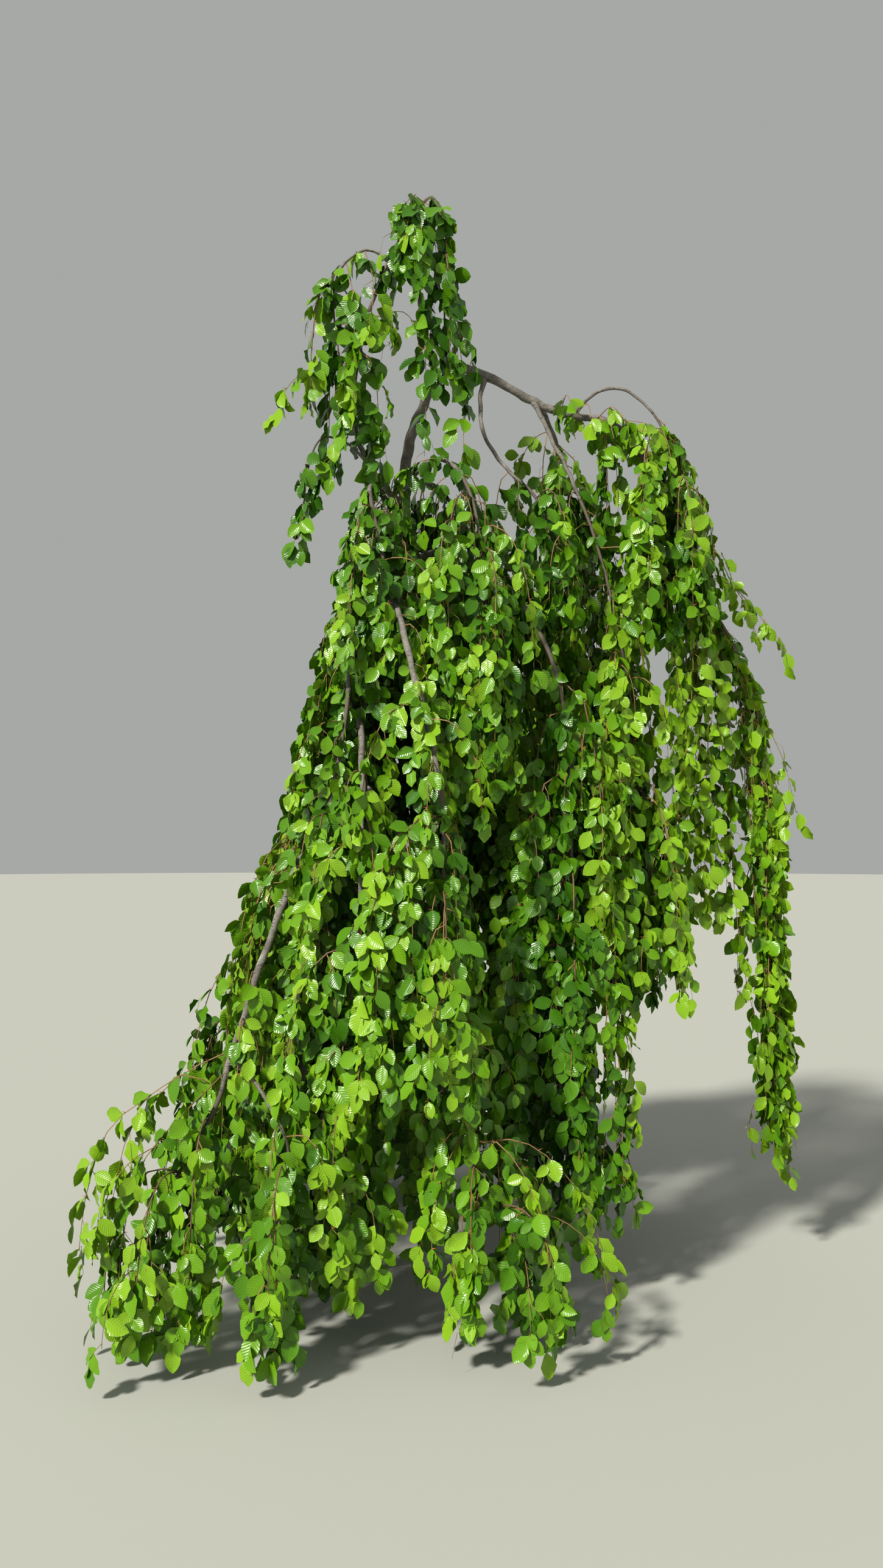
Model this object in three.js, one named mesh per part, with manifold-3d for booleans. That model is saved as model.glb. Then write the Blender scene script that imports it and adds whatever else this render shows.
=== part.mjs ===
// A young weeping beech, rooted in the ground, as separate solids in millimetres with +Z up.
// The trunk leans and bends over into a long arch, boughs leave it on all sides, and each bough
// ends in a hanging mass: a stem that carries on from the bough's tip, shoots that arch off the
// stem and fall to a hem, and leaves set in turn on both sides of every shoot.
import * as THREE from "three";
import { mergeVertices } from "three/addons/utils/BufferGeometryUtils.js";
import Module from "manifold-3d";

const wasm = await Module();
wasm.setup();

const { Vector3 } = THREE;
const UP = new Vector3(0, 0, 1);
const GOLDEN_ANGLE = Math.PI * (3 - Math.sqrt(5));

// Driving dimensions. The origin is the middle of the trunk's flat cut at ground level,
// +X is the side that the arch leans to, and -Y is the front.
const GROUND = 0;
const CLEARANCE = 0.3; // between two pieces that touch on the tree

// The trunk's middle line as heights and leans, and its girth.
const TRUNK_LINE = [
  [0, 0, -20],
  [0, 0, 40],
  [22, -12, 520],
  [48, -22, 984],
  [91, -15, 1385],
  [164, 0, 1836],
  [280, 16, 2180],
  [399, 20, 2506],
  [446, 12, 2790],
  [450, 0, 3080],
];
const TRUNK = { foot: 44, top: 22, sides: 12, rings: 18, crowded: 1.5 };
const FLARE = { spread: 40, height: 130, roots: 5, ridge: 0.25 };

// Boughs. height is where one leaves the trunk; at is the share along the limb that it is from, and
// 1 carries on from that limb's tip. bow is how far its middle stands off the straight line to its tip.
const BOUGHS = {
  arch_rise: { from: "trunk", at: 1, tip: [720, 0, 3520], bow: [-50, 0, 150], girth: [22, 19] },
  arch_shoulder: { from: "arch_rise", at: 1, tip: [1180, -20, 3318], bow: [0, 0, -45], girth: [19, 15] },
  arch_fall: { from: "arch_shoulder", at: 1, tip: [1690, -60, 2500], bow: [-25, 0, 5], girth: [15, 8] },
  leader_low: { height: 2960, tip: [250, -90, 3400], bow: [-60, 0, -30], girth: [13, 10] },
  leader_top: { from: "leader_low", at: 1, tip: [530, -130, 4150], bow: [-50, 0, 20], girth: [10, 6] },
  leader_arm: { from: "leader_top", at: 0.66, tip: [205, -170, 3860], bow: [0, 0, 60], girth: [6, 4.5] },
  sprig_bough: { from: "leader_low", at: 0.45, tip: [150, -160, 3190], bow: [0, 0, 25], girth: [6, 4.5] },
  loop_bough: { from: "arch_shoulder", at: 0.9, tip: [1440, -110, 3300], bow: [0, 0, 110], girth: [7, 5] },
  pendant_near: { from: "arch_shoulder", at: 0.13, tip: [930, -140, 3000], bow: [-80, 0, -20], girth: [9, 7] },
  pendant_far: { from: "arch_shoulder", at: 0.56, tip: [1145, -150, 2940], bow: [0, 0, 10], girth: [9, 7] },
  pendant_back: { from: "arch_shoulder", at: 0.6, tip: [1180, 320, 2960], bow: [0, 40, 110], girth: [10, 7] },
  left_high_bough: { height: 2860, tip: [330, -310, 2920], bow: [-40, -20, 90], girth: [13, 9] },
  centre_high_bough: { height: 3000, tip: [670, -330, 2990], bow: [0, -30, 90], girth: [12, 8] },
  right_mid_bough: { height: 2700, tip: [960, -380, 2380], bow: [0, 0, 170], girth: [15, 9] },
  centre_front_bough: { height: 2560, tip: [590, -800, 1820], bow: [-40, -150, 180], girth: [15, 9] },
  left_mid_bough: { height: 2300, tip: [260, -430, 2150], bow: [-20, -20, 110], girth: [14, 9] },
  left_front_bough: { height: 2120, tip: [330, -780, 1400], bow: [20, -130, 190], girth: [14, 8] },
  front_low_bough: { height: 1900, tip: [690, -900, 640], bow: [80, -170, 230], girth: [13, 7] },
  left_low_bough: { height: 1700, tip: [-110, -850, 800], bow: [40, -180, 150], girth: [16, 9] },
  left_low_fork: { from: "left_low_bough", at: 0.93, tip: [110, -960, 680], bow: [0, 0, 40], girth: [7, 5] },
  left_side_bough: { height: 1520, tip: [-70, -80, 1380], bow: [-20, 0, 90], girth: [12, 8] },
  back_left_high_bough: { height: 2780, tip: [390, 380, 2850], bow: [-20, 20, 100], girth: [13, 9] },
  back_centre_high_bough: { height: 3030, tip: [720, 420, 2960], bow: [0, 20, 110], girth: [12, 8] },
  back_right_low_bough: { height: 2420, tip: [970, 520, 1780], bow: [40, 60, 220], girth: [15, 9] },
  back_centre_low_bough: { height: 2240, tip: [440, 740, 1760], bow: [0, 80, 200], girth: [15, 9] },
  back_left_low_bough: { height: 1800, tip: [20, 580, 1440], bow: [-20, 60, 170], girth: [14, 9] },
};
const BOUGH_SIDES = 6;
const BOUGH_STEP = 225; // length of a bough from ring to ring
const LIMB_SAMPLE = 30; // length of a limb between the balls that stand for its room

// Hanging masses. Each fills a capsule round the line from its bough's tip to its foot, with its girth
// at both ends given, up to the walls that it shares with its neighbours.
const MASSES = {
  crown_tip: { bough: "leader_top", foot: [610, -195, 3365], girth: [150, 205], shoots: 5 },
  crown_left: { bough: "leader_arm", foot: [235, -200, 3170], girth: [190, 250], shoots: 5 },
  left_sprig: { bough: "sprig_bough", foot: [60, -170, 2780], girth: [150, 175], shoots: 1 },
  arch_crest: { bough: "loop_bough", foot: [1490, -310, 2450], girth: [180, 260], shoots: 5 },
  arch_tail: { bough: "arch_fall", foot: [1885, -60, 430], girth: [310, 195], shoots: 8 },
  left_high: { bough: "left_high_bough", foot: [430, -430, 2250], girth: [200, 265], shoots: 5 },
  centre_high: { bough: "centre_high_bough", foot: [760, -520, 2060], girth: [200, 270], shoots: 5 },
  pendant_near_fall: { bough: "pendant_near", foot: [1030, -290, 2480], girth: [180, 240], shoots: 4 },
  pendant_far_fall: { bough: "pendant_far", foot: [1380, -330, 1040], girth: [220, 290], shoots: 6 },
  right_mid: { bough: "right_mid_bough", foot: [1020, -480, 340], girth: [200, 300], shoots: 6 },
  centre_front: { bough: "centre_front_bough", foot: [570, -880, 800], girth: [210, 300], shoots: 5 },
  left_mid: { bough: "left_mid_bough", foot: [120, -560, 960], girth: [190, 280], shoots: 5 },
  left_front: { bough: "left_front_bough", foot: [230, -780, 220], girth: [180, 280], shoots: 5 },
  front_skirt: { bough: "front_low_bough", foot: [890, -980, 150], girth: [240, 330], shoots: 5 },
  left_skirt: { bough: "left_low_bough", foot: [-350, -1030, 150], girth: [200, 300], shoots: 6 },
  left_skirt_near: { bough: "left_low_fork", foot: [60, -1130, 120], girth: [150, 230], shoots: 4 },
  left_side: { bough: "left_side_bough", foot: [-250, -110, 220], girth: [140, 290], shoots: 5 },
  back_left_high: { bough: "back_left_high_bough", foot: [190, 500, 1560], girth: [210, 300], shoots: 5 },
  back_centre_high: { bough: "back_centre_high_bough", foot: [760, 600, 1900], girth: [210, 310], shoots: 5 },
  back_right_high: { bough: "pendant_back", foot: [1290, 520, 1050], girth: [200, 300], shoots: 6 },
  back_right_low: { bough: "back_right_low_bough", foot: [1040, 740, 260], girth: [210, 310], shoots: 5 },
  back_centre_low: { bough: "back_centre_low_bough", foot: [470, 980, 160], girth: [220, 320], shoots: 5 },
  back_left_low: { bough: "back_left_low_bough", foot: [-130, 700, 180], girth: [200, 320], shoots: 5 },
};
const WALL = 14; // how much deeper in its own capsule than in any other a point has to lie
const CROWN_MIDDLE = new Vector3(400, 0, 0); // seen from above

// Stems, shoots and leaves.
const STEM = {
  sides: 4,
  tip: 7,
  step: 330, // length of a stretch
  lead: 0.22, // how far it runs on in its bough's direction, as a share of its drop
  hang: 0.4, // how much of its foot hangs straight
  bare: 0.2, // share of it with no leaves, next to the bough
};
const SHOOT = {
  sides: 3,
  foot: 5,
  tip: 4.5,
  step: 470,
  highest: 0.05, // shares of the stem between which shoots leave it
  lowest: 0.6,
  climb: 70, // how far it arches up before it falls
  reach: 0.55, // share of its way out that it goes as it arches
  hang: 0.8, // share of its drop that hangs straight
  hem: 0.3, // how much shorter than the stem it may end
  inset: 93, // how far inside the capsule the outermost shoots hang
  shortest: 400,
};
const LEAF = {
  length: 265,
  width: 172,
  thick: 4,
  widest: 0.45, // share of its length at which it is widest
  curl: 0.1, // how far its tip bends down, as a share of its length
  sunk: 1.5, // depth of its root past the middle of its twig
  places: [0.3, 0.8], // shares of a stretch at which leaves stand
  droop: 0.75, // how much it points down, sideways and out
  spread: 0.75,
  lift: 0.2,
  turn: 1.4, // how far round, in radians, leaves differ
};
const LEAF_TRIES = [
  { size: 1, side: 1 },
  { size: 0.75, side: 1 },
  { size: 0.9, side: -1 },
];
const LEAF_GAP = 26; // a leaf that comes this near a limb is skipped
const SHOOT_GAP = 11; // and a shoot stops short of it
const LOWEST_TIP = 40; // height above the ground of the lowest twigs

const BARK = new THREE.MeshStandardMaterial({ color: 0x6f675c, roughness: 0.85, metalness: 0 });
const BOUGH_BARK = new THREE.MeshStandardMaterial({ color: 0x7a7268, roughness: 0.8, metalness: 0 });
const FOLIAGE = new THREE.MeshStandardMaterial({ color: 0x5c9a1f, roughness: 0.45, metalness: 0 });

// Numbers from 0 to 1 that are the same on every run.
function seeded(seed) {
  let state = seed;
  return () => {
    state = (state * 16807) % 2147483647;
    return state / 2147483647;
  };
}

// A closed geometry as a solid.
function solidOf(geometry) {
  const bare = new THREE.BufferGeometry()
    .setAttribute("position", geometry.getAttribute("position"))
    .setIndex(geometry.index);
  const merged = mergeVertices(bare, 1e-3);
  return new wasm.Manifold(
    new wasm.Mesh({
      numProp: 3,
      vertProperties: merged.attributes.position.array,
      triVerts: new Uint32Array(merged.index.array),
    }),
  );
}

// A solid as a geometry.
function geometryOf(solid) {
  const mesh = solid.getMesh();
  const geometry = new THREE.BufferGeometry()
    .setAttribute("position", new THREE.BufferAttribute(mesh.vertProperties, 3))
    .setIndex(new THREE.BufferAttribute(mesh.triVerts, 1));
  geometry.computeVertexNormals();
  return geometry;
}

// A closed rod along a curve. radiusAt gives its radius for a share of its length and an angle,
// and its rings stand closer together near its foot where crowded is over 1.
function rod(curve, radiusAt, sides, rings, crowded = 1) {
  const stations = [];
  let across = new Vector3(0.9, 0.1, 0.4);
  for (let ring = 0; ring <= rings; ring++) {
    const share = (ring / rings) ** crowded;
    const tangent = curve.getTangentAt(share);
    across = across.clone().projectOnPlane(tangent).normalize();
    const over = new Vector3().crossVectors(across, tangent);
    stations.push({ share, middle: curve.getPointAt(share), across, over });
  }
  const shape = new THREE.CylinderGeometry(1, 1, 1, sides, rings);
  const corners = shape.attributes.position;
  for (let i = 0; i < corners.count; i++) {
    const { share, middle, across, over } = stations[Math.round((corners.getY(i) + 0.5) * rings)];
    const x = corners.getX(i);
    const z = corners.getZ(i);
    const radius = radiusAt(share, Math.atan2(z, x));
    const point = middle.clone().addScaledVector(across, x * radius).addScaledVector(over, z * radius);
    corners.setXYZ(i, point.x, point.y, point.z);
  }
  return shape;
}

const taper = (from, to) => (share) => from + (to - from) * share;

// The curve of a bough: it leaves start, bows off the straight line and ends at tip.
// One that carries on from a tip starts in the direction that this tip points.
function bowed(start, tip, bow, direction) {
  const reach = tip.clone().sub(start);
  const off = bow.clone().multiplyScalar(4 / 3);
  const first = direction
    ? start.clone().addScaledVector(direction, reach.length() / 3)
    : start.clone().addScaledVector(reach, 1 / 3).add(off);
  const second = start.clone().addScaledVector(reach, 2 / 3).add(off);
  return new THREE.CubicBezierCurve3(start, first, second, tip);
}

// The share along a curve that rises all the way at which it passes a height.
function shareAtHeight(curve, height) {
  let low = 0;
  let high = 1;
  while (high - low > 1e-4) {
    const middle = (low + high) / 2;
    if (curve.getPointAt(middle).z < height) low = middle;
    else high = middle;
  }
  return low;
}

// Every limb by name, with its curve, its taper, its solid and the room that it takes.
const limbs = new Map();

// A limb, the same limb grown by the clearance, and balls along it that stand for its room.
function addLimb(name, curve, radiusAt, sides, rings, crowded) {
  const samples = [];
  const count = Math.ceil(curve.getLength() / LIMB_SAMPLE);
  for (let i = 0; i <= count; i++) {
    samples.push({ point: curve.getPointAt(i / count), radius: radiusAt(i / count, 0) });
  }
  const grownAt = (share, angle) => radiusAt(share, angle) + CLEARANCE;
  const limb = {
    curve,
    radiusAt,
    samples,
    solid: solidOf(rod(curve, radiusAt, sides, rings, crowded)),
    grown: solidOf(rod(curve, grownAt, sides, rings, crowded)),
  };
  limbs.set(name, limb);
  return limb;
}

// The trunk tapers from its foot to its top and spreads into low root ridges at the ground.
function growTrunk() {
  const curve = new THREE.CatmullRomCurve3(TRUNK_LINE.map((p) => new Vector3(...p)));
  const buried = shareAtHeight(curve, GROUND);
  const radiusAt = (share, angle) => {
    const height = Math.max(0, (share - buried) * curve.getLength());
    const flare = FLARE.spread * Math.exp(-height / FLARE.height);
    const ridges = 1 + FLARE.ridge * Math.cos(FLARE.roots * angle);
    return TRUNK.foot + (TRUNK.top - TRUNK.foot) * share + flare * ridges;
  };
  const trunk = addLimb("trunk", curve, radiusAt, TRUNK.sides, TRUNK.rings, TRUNK.crowded);
  trunk.solid = trunk.solid.trimByPlane([0, 0, 1], GROUND);
}

// A bough carries on from its parent's tip, or leaves its side with the parent's room cut out of it.
function growBough(name, { from = "trunk", height, at, tip, bow, girth }) {
  const parent = limbs.get(from);
  const share = height === undefined ? at : shareAtHeight(parent.curve, height);
  const carriesOn = share === 1;
  const direction = carriesOn ? parent.curve.getTangentAt(1) : undefined;
  const start = parent.curve.getPointAt(share);
  if (carriesOn) start.addScaledVector(direction, CLEARANCE);
  const curve = bowed(start, new Vector3(...tip), new Vector3(...bow), direction);
  const rings = Math.max(4, Math.round(curve.getLength() / BOUGH_STEP));
  const bough = addLimb(name, curve, taper(...girth), BOUGH_SIDES, rings);
  if (!carriesOn) bough.solid = bough.solid.subtract(parent.grown);
}

// How deep a point lies in a mass's capsule, in millimetres.
function depthIn(mass, point) {
  const share = mass.axis.closestPointToPointParameter(point, true);
  const radius = mass.girth[0] + (mass.girth[1] - mass.girth[0]) * share;
  return radius - mass.axis.at(share, new Vector3()).distanceTo(point);
}

// The way that a leaf faces: out of the crown, and away from the middle of its own mass.
function outwardAt(mass, point) {
  const nearest = mass.axis.closestPointToPoint(point, true, new Vector3());
  const away = point.clone().sub(nearest).divideScalar(mass.girth[1]);
  const fromMiddle = point.clone().sub(CROWN_MIDDLE).setZ(0).normalize();
  return away.multiplyScalar(2).add(fromMiddle).setZ(0).normalize();
}

// A point is in a mass's space if it lies in that capsule, above ground and deeper than in any other.
function inSpace(mass, point) {
  const depth = depthIn(mass, point);
  if (depth < 0 || point.z < GROUND + LEAF.thick) return false;
  return masses.every((other) => other === mass || depthIn(other, point) < depth - WALL);
}

// A point is clear of the limbs if it lies more than a gap from the side of every one.
function clearOfLimbs(point, gap) {
  for (const { samples } of limbs.values()) {
    for (const s of samples) {
      if (s.point.distanceTo(point) < s.radius + gap) return false;
    }
  }
  return true;
}

// A leaf is a thin blade with a ridge along it, widest below its middle, that curls down at its tip.
function leafShape(root, along, facing, size) {
  const side = new Vector3().crossVectors(along, facing).normalize();
  const out = new Vector3().crossVectors(side, along).normalize();
  const shape = new THREE.OctahedronGeometry(1, 0);
  const corners = shape.attributes.position;
  const long = LEAF.length * size;
  for (let i = 0; i < corners.count; i++) {
    const y = corners.getY(i);
    const run = y < 0 ? -LEAF.sunk : long * (y > 0.5 ? 1 : LEAF.widest);
    const lift = (corners.getZ(i) * LEAF.thick) / 2 - (y > 0.5 ? LEAF.curl * long : 0);
    const point = root
      .clone()
      .addScaledVector(along, run)
      .addScaledVector(side, (corners.getX(i) * LEAF.width * size) / 2)
      .addScaledVector(out, lift);
    corners.setXYZ(i, point.x, point.y, point.z);
  }
  return shape;
}

// The spots of a leaf that are tested: its corners and the middles of its edges.
function leafSpots(shape) {
  const spots = [];
  const corners = shape.attributes.position;
  for (let i = 0; i < corners.count; i += 3) {
    const face = [0, 1, 2].map((k) => new Vector3().fromBufferAttribute(corners, i + k));
    face.forEach((corner, k) => {
      spots.push(corner, corner.clone().lerp(face[(k + 1) % 3], 0.5));
    });
  }
  return spots;
}

// The point at a share of the straight stretch of a twig between one of its rings and the next.
function onStretch(twig, ring, share) {
  const from = twig.curve.getPointAt(ring / twig.rings);
  const to = twig.curve.getPointAt((ring + 1) / twig.rings);
  return { point: from.clone().lerp(to, share), tangent: to.sub(from).normalize() };
}

// Leaves in turn on both sides of a twig, two on each stretch, hanging outwards from the crown.
// One that has no room is tried smaller and then on the other side, and after that it is skipped.
function addLeaves(mass, twig, bare, twigs, leaves, random) {
  const others = [...twigs.filter((other) => other !== twig), ...limbs.values()];
  const solids = others.map((other) => other.solid);
  for (let place = 2 * bare; place < 2 * twig.rings; place++) {
    const { point, tangent } = onStretch(twig, Math.floor(place / 2), LEAF.places[place % 2]);
    const outward = outwardAt(mass, point).applyAxisAngle(UP, LEAF.turn * (random() - 0.5));
    const sideways = new Vector3().crossVectors(UP, outward);
    const spread = LEAF.spread + 0.4 * random();
    const lift = LEAF.lift + 0.5 * random();
    const full = 0.9 + 0.2 * random();
    for (const { size, side } of LEAF_TRIES) {
      const hand = place % 2 ? side : -side;
      const along = tangent
        .clone()
        .multiplyScalar(0.15)
        .addScaledVector(UP, -LEAF.droop)
        .addScaledVector(sideways, hand * spread)
        .addScaledVector(outward, lift)
        .normalize();
      const facing = outward.clone().addScaledVector(UP, 0.5).addScaledVector(sideways, hand * 0.3);
      const shape = leafShape(point, along, facing, size * full);
      const inRoom = (spot) => inSpace(mass, spot) && clearOfLimbs(spot, LEAF_GAP);
      if (!leafSpots(shape).every(inRoom)) continue;
      const solid = solidOf(shape);
      if ([...solids, ...leaves].some((other) => !solid.intersect(other).isEmpty())) continue;
      leaves.push(solid);
      break;
    }
  }
}

// A twig has room if each of its stretches stays in its mass's space and clear of the limbs.
function hasRoom(mass, twig) {
  const steps = 20;
  for (let i = 1; i <= steps * twig.rings; i++) {
    const ring = Math.ceil(i / steps) - 1;
    const { point } = onStretch(twig, ring, i / steps - ring);
    if (!inSpace(mass, point) || !clearOfLimbs(point, SHOOT_GAP)) return false;
  }
  return true;
}

// The stem carries on from the bough's tip and falls to the mass's foot.
function growStem(mass) {
  const bough = limbs.get(mass.bough);
  const direction = bough.curve.getTangentAt(1);
  const start = bough.curve.getPointAt(1).addScaledVector(direction, CLEARANCE);
  const foot = new Vector3(...mass.foot);
  const drop = start.distanceTo(foot);
  const curve = new THREE.CubicBezierCurve3(
    start,
    start.clone().addScaledVector(direction, STEM.lead * drop),
    foot.clone().addScaledVector(UP, STEM.hang * drop),
    foot,
  );
  const rings = Math.max(4, Math.round(curve.getLength() / STEM.step));
  const radiusAt = taper(bough.radiusAt(1, 0), STEM.tip);
  return { curve, rings, solid: solidOf(rod(curve, radiusAt, STEM.sides, rings)) };
}

// A shoot arches off the stem and falls to its place in the hem. One with no room is tried shorter.
function growShoot(mass, stem, index, firstTurn, random) {
  const order = (index + random()) / mass.shoots;
  const level = SHOOT.lowest + (SHOOT.highest - SHOOT.lowest) * order;
  const root = onStretch(stem, Math.floor(level * stem.rings), 0.55).point;
  const turn = firstTurn + index * GOLDEN_ANGLE;
  const off = (mass.girth[1] - SHOOT.inset) * Math.sqrt((index + 0.6) / mass.shoots);
  const end = new Vector3(...mass.foot);
  end.x += Math.cos(turn) * off;
  end.y += Math.sin(turn) * off;
  end.z = Math.max(end.z + SHOOT.hem * random() * (root.z - end.z), GROUND + LOWEST_TIP);
  const away = new Vector3(end.x - root.x, end.y - root.y, 0);
  const path = new THREE.CubicBezierCurve3(
    root,
    root.clone().addScaledVector(away, SHOOT.reach).addScaledVector(UP, SHOOT.climb),
    new Vector3(end.x, end.y, end.z + SHOOT.hang * (root.z - end.z)),
    end,
  );
  for (let share = 1; share * path.getLength() > SHOOT.shortest; share *= 0.85) {
    const points = Array.from({ length: 9 }, (_, i) => path.getPointAt((share * i) / 8));
    const curve = new THREE.CatmullRomCurve3(points);
    const rings = Math.max(2, Math.round(curve.getLength() / SHOOT.step));
    if (!hasRoom(mass, { curve, rings })) continue;
    const solid = solidOf(rod(curve, taper(SHOOT.foot, SHOOT.tip), SHOOT.sides, rings));
    return { curve, rings, solid };
  }
  return undefined;
}

// A mass: its stem, shoots and leaves joined, with its bough's room cut out and a loose scrap dropped.
function growMass(mass, index) {
  const random = seeded(4001 + 97 * index);
  const firstTurn = 2 * Math.PI * random();
  const stem = growStem(mass);
  const twigs = [stem];
  for (let i = 0; i < mass.shoots; i++) {
    const shoot = growShoot(mass, stem, i, firstTurn, random);
    if (shoot) twigs.push(shoot);
  }
  const leaves = [];
  for (const twig of twigs) {
    const bare = twig === stem ? Math.floor(STEM.bare * twig.rings) : 0;
    addLeaves(mass, twig, bare, twigs, leaves, random);
  }
  const solids = [...twigs.map((twig) => twig.solid), ...leaves];
  const joined = wasm.Manifold.union(solids).subtract(limbs.get(mass.bough).grown);
  return joined.decompose().reduce((a, b) => (a.volume() > b.volume() ? a : b));
}

growTrunk();
for (const [name, bough] of Object.entries(BOUGHS)) growBough(name, bough);

// The masses, each with the line that its capsule lies round.
const masses = Object.entries(MASSES).map(([name, mass]) => {
  const tip = limbs.get(mass.bough).curve.getPointAt(1);
  const axis = new THREE.Line3(tip, new Vector3(...mass.foot));
  return { name, ...mass, axis };
});

const tree = new THREE.Group();
for (const [name, { solid }] of limbs) {
  const mesh = new THREE.Mesh(geometryOf(solid), name === "trunk" ? BARK : BOUGH_BARK);
  mesh.name = name;
  tree.add(mesh);
}
masses.forEach((mass, index) => {
  const mesh = new THREE.Mesh(geometryOf(growMass(mass, index)), FOLIAGE);
  mesh.name = mass.name;
  tree.add(mesh);
});

export default tree;
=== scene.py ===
# A young weeping beech, rooted in the ground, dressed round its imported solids. Metres, +Z up, -Y front.
import math

import bpy
import numpy as np
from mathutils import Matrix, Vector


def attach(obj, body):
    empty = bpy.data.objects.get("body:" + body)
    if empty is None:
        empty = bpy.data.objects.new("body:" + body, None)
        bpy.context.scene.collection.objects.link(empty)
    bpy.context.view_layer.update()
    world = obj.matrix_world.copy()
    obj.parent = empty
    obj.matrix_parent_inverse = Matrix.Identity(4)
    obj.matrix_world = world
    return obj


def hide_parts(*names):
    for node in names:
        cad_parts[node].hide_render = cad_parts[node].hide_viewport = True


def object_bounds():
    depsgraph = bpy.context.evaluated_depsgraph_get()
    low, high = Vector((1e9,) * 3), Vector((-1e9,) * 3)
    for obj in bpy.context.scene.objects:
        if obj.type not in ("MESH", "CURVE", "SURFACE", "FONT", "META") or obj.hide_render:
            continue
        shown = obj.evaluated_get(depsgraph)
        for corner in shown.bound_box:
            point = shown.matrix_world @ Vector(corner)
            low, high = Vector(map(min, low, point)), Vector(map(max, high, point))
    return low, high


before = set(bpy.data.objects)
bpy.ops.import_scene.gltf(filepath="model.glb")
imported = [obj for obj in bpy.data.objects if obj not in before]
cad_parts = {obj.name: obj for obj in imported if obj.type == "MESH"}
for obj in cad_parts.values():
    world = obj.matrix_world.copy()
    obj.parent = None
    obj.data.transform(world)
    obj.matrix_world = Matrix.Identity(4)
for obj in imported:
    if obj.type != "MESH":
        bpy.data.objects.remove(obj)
cad_low, cad_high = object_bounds()

# The trunk is one leaning stem of smooth grey beech bark, cut flat at the ground, where low root
# ridges spread from it. It is drawn as a tube along its middle line, its ridges are pulled out at
# the foot, and the bark's dents and swellings are raised on it.
TRUNK_LINE = [
    (0, 0, -0.020),
    (0, 0, 0.040),
    (0.022, -0.012, 0.520),
    (0.048, -0.022, 0.984),
    (0.091, -0.015, 1.385),
    (0.164, 0, 1.836),
    (0.280, 0.016, 2.180),
    (0.399, 0.020, 2.506),
    (0.446, 0.012, 2.790),
    (0.450, 0, 3.080),
]
TRUNK_GIRTH = (0.044, 0.022)
TRUNK_SWELLS = 0.03
FLARE = 0.040
FLARE_HEIGHT = 0.130
ROOT_RIDGES = 5
RIDGE_SHARE = 0.25
RIDGE_TURN = 0.11
TRUNK_RING = 0.012
TRUNK_SIDES = 28
TRUNK_DENTS = 0.007
TRUNK_GRAIN = 0.0025
TRUNK_DEEP = (0.10, 0.09, 0.075)
TRUNK_PALE = (0.21, 0.19, 0.16)
TRUNK_LICHEN = (0.24, 0.27, 0.17)
TRUNK_LICHEN_FROM = 0.56
TRUNK_SEED = 3
LINE_POINTS = 1001
STRETCH_POINTS = 40
WAVES = 7


def bezier(start, leave, arrive, end, count):
    """Points on a curve with two handles, or on several such curves at once."""
    ends = (start, leave, arrive, end)
    start, leave, arrive, end = (np.asarray(point, float)[..., None, :] for point in ends)
    share = np.linspace(0, 1, count)[:, None]
    left = 1 - share
    near = start * left**3 + 3 * leave * share * left**2
    return near + 3 * arrive * share**2 * left + end * share**3


def between(ends, share):
    """The value at a share of the way from the first end to the last."""
    return ends[0] + (ends[1] - ends[0]) * share


def lengths(line):
    """How far along a line each of its points lies."""
    return np.r_[0, np.linalg.norm(np.diff(line, axis=0), axis=1).cumsum()]


def at_places(places, run, values):
    """A line's points, or other values along it, at places given as lengths from its start."""
    return np.column_stack([np.interp(places, run, values[:, k]) for k in range(3)])


def evenly(line, count):
    """The same line with count points at equal steps."""
    run = lengths(line)
    return at_places(np.linspace(0, run[-1], count), run, line)


def smooth_line(points):
    """A smooth line through all the points, that turns less sharply where they stand close."""
    points = np.array(points, float)
    padded = np.vstack([2 * points[0] - points[1], points, 2 * points[-1] - points[-2]])
    stretches = []
    for a, b, c, d in zip(padded, padded[1:], padded[2:], padded[3:]):
        before, here, after = (math.dist(p, q) ** 0.5 for p, q in ((a, b), (b, c), (c, d)))
        leave = (c - b) + here * ((b - a) / before - (c - a) / (before + here))
        arrive = (c - b) + here * ((d - c) / after - (d - b) / (here + after))
        stretches.append(bezier(b, b + leave / 3, c - arrive / 3, c, STRETCH_POINTS))
    return evenly(np.vstack(stretches), LINE_POINTS)


def wander(seed, count):
    """A smooth run of numbers from about -1 to 1 that is 0 at both ends."""
    dice = np.random.default_rng(seed)
    share = np.linspace(0, 1, count)
    waves = [np.sin(math.tau * (k * share + dice.uniform())) / k**0.5 for k in range(1, WAVES + 1)]
    return sum(waves) * np.sin(math.pi * share) ** 0.5 / 2


def tube(name, line, radii, corners):
    """A tube along a line, with its radius given at each point and both ends closed."""
    bpy.ops.object.select_all(action="DESELECT")
    bpy.ops.curve.primitive_nurbs_path_add(location=(0, 0, 0))
    path = bpy.context.object
    path.data.splines.clear()
    spline = path.data.splines.new("POLY")
    spline.points.add(len(line) - 1)
    spline.points.foreach_set("co", np.column_stack([line, np.ones(len(line))]).ravel())
    spline.points.foreach_set("radius", radii)
    path.data.bevel_depth = 1
    path.data.bevel_resolution = (corners - 4) // 2
    path.data.use_fill_caps = True
    bpy.ops.object.convert(target="MESH")
    limb = bpy.context.object
    limb.name = name
    bpy.ops.object.mode_set(mode="EDIT")
    bpy.ops.mesh.select_all(action="SELECT")
    bpy.ops.mesh.remove_doubles(threshold=1e-5)
    bpy.ops.mesh.normals_make_consistent(inside=False)
    bpy.ops.object.mode_set(mode="OBJECT")
    bpy.ops.object.shade_smooth()
    return limb


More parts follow.
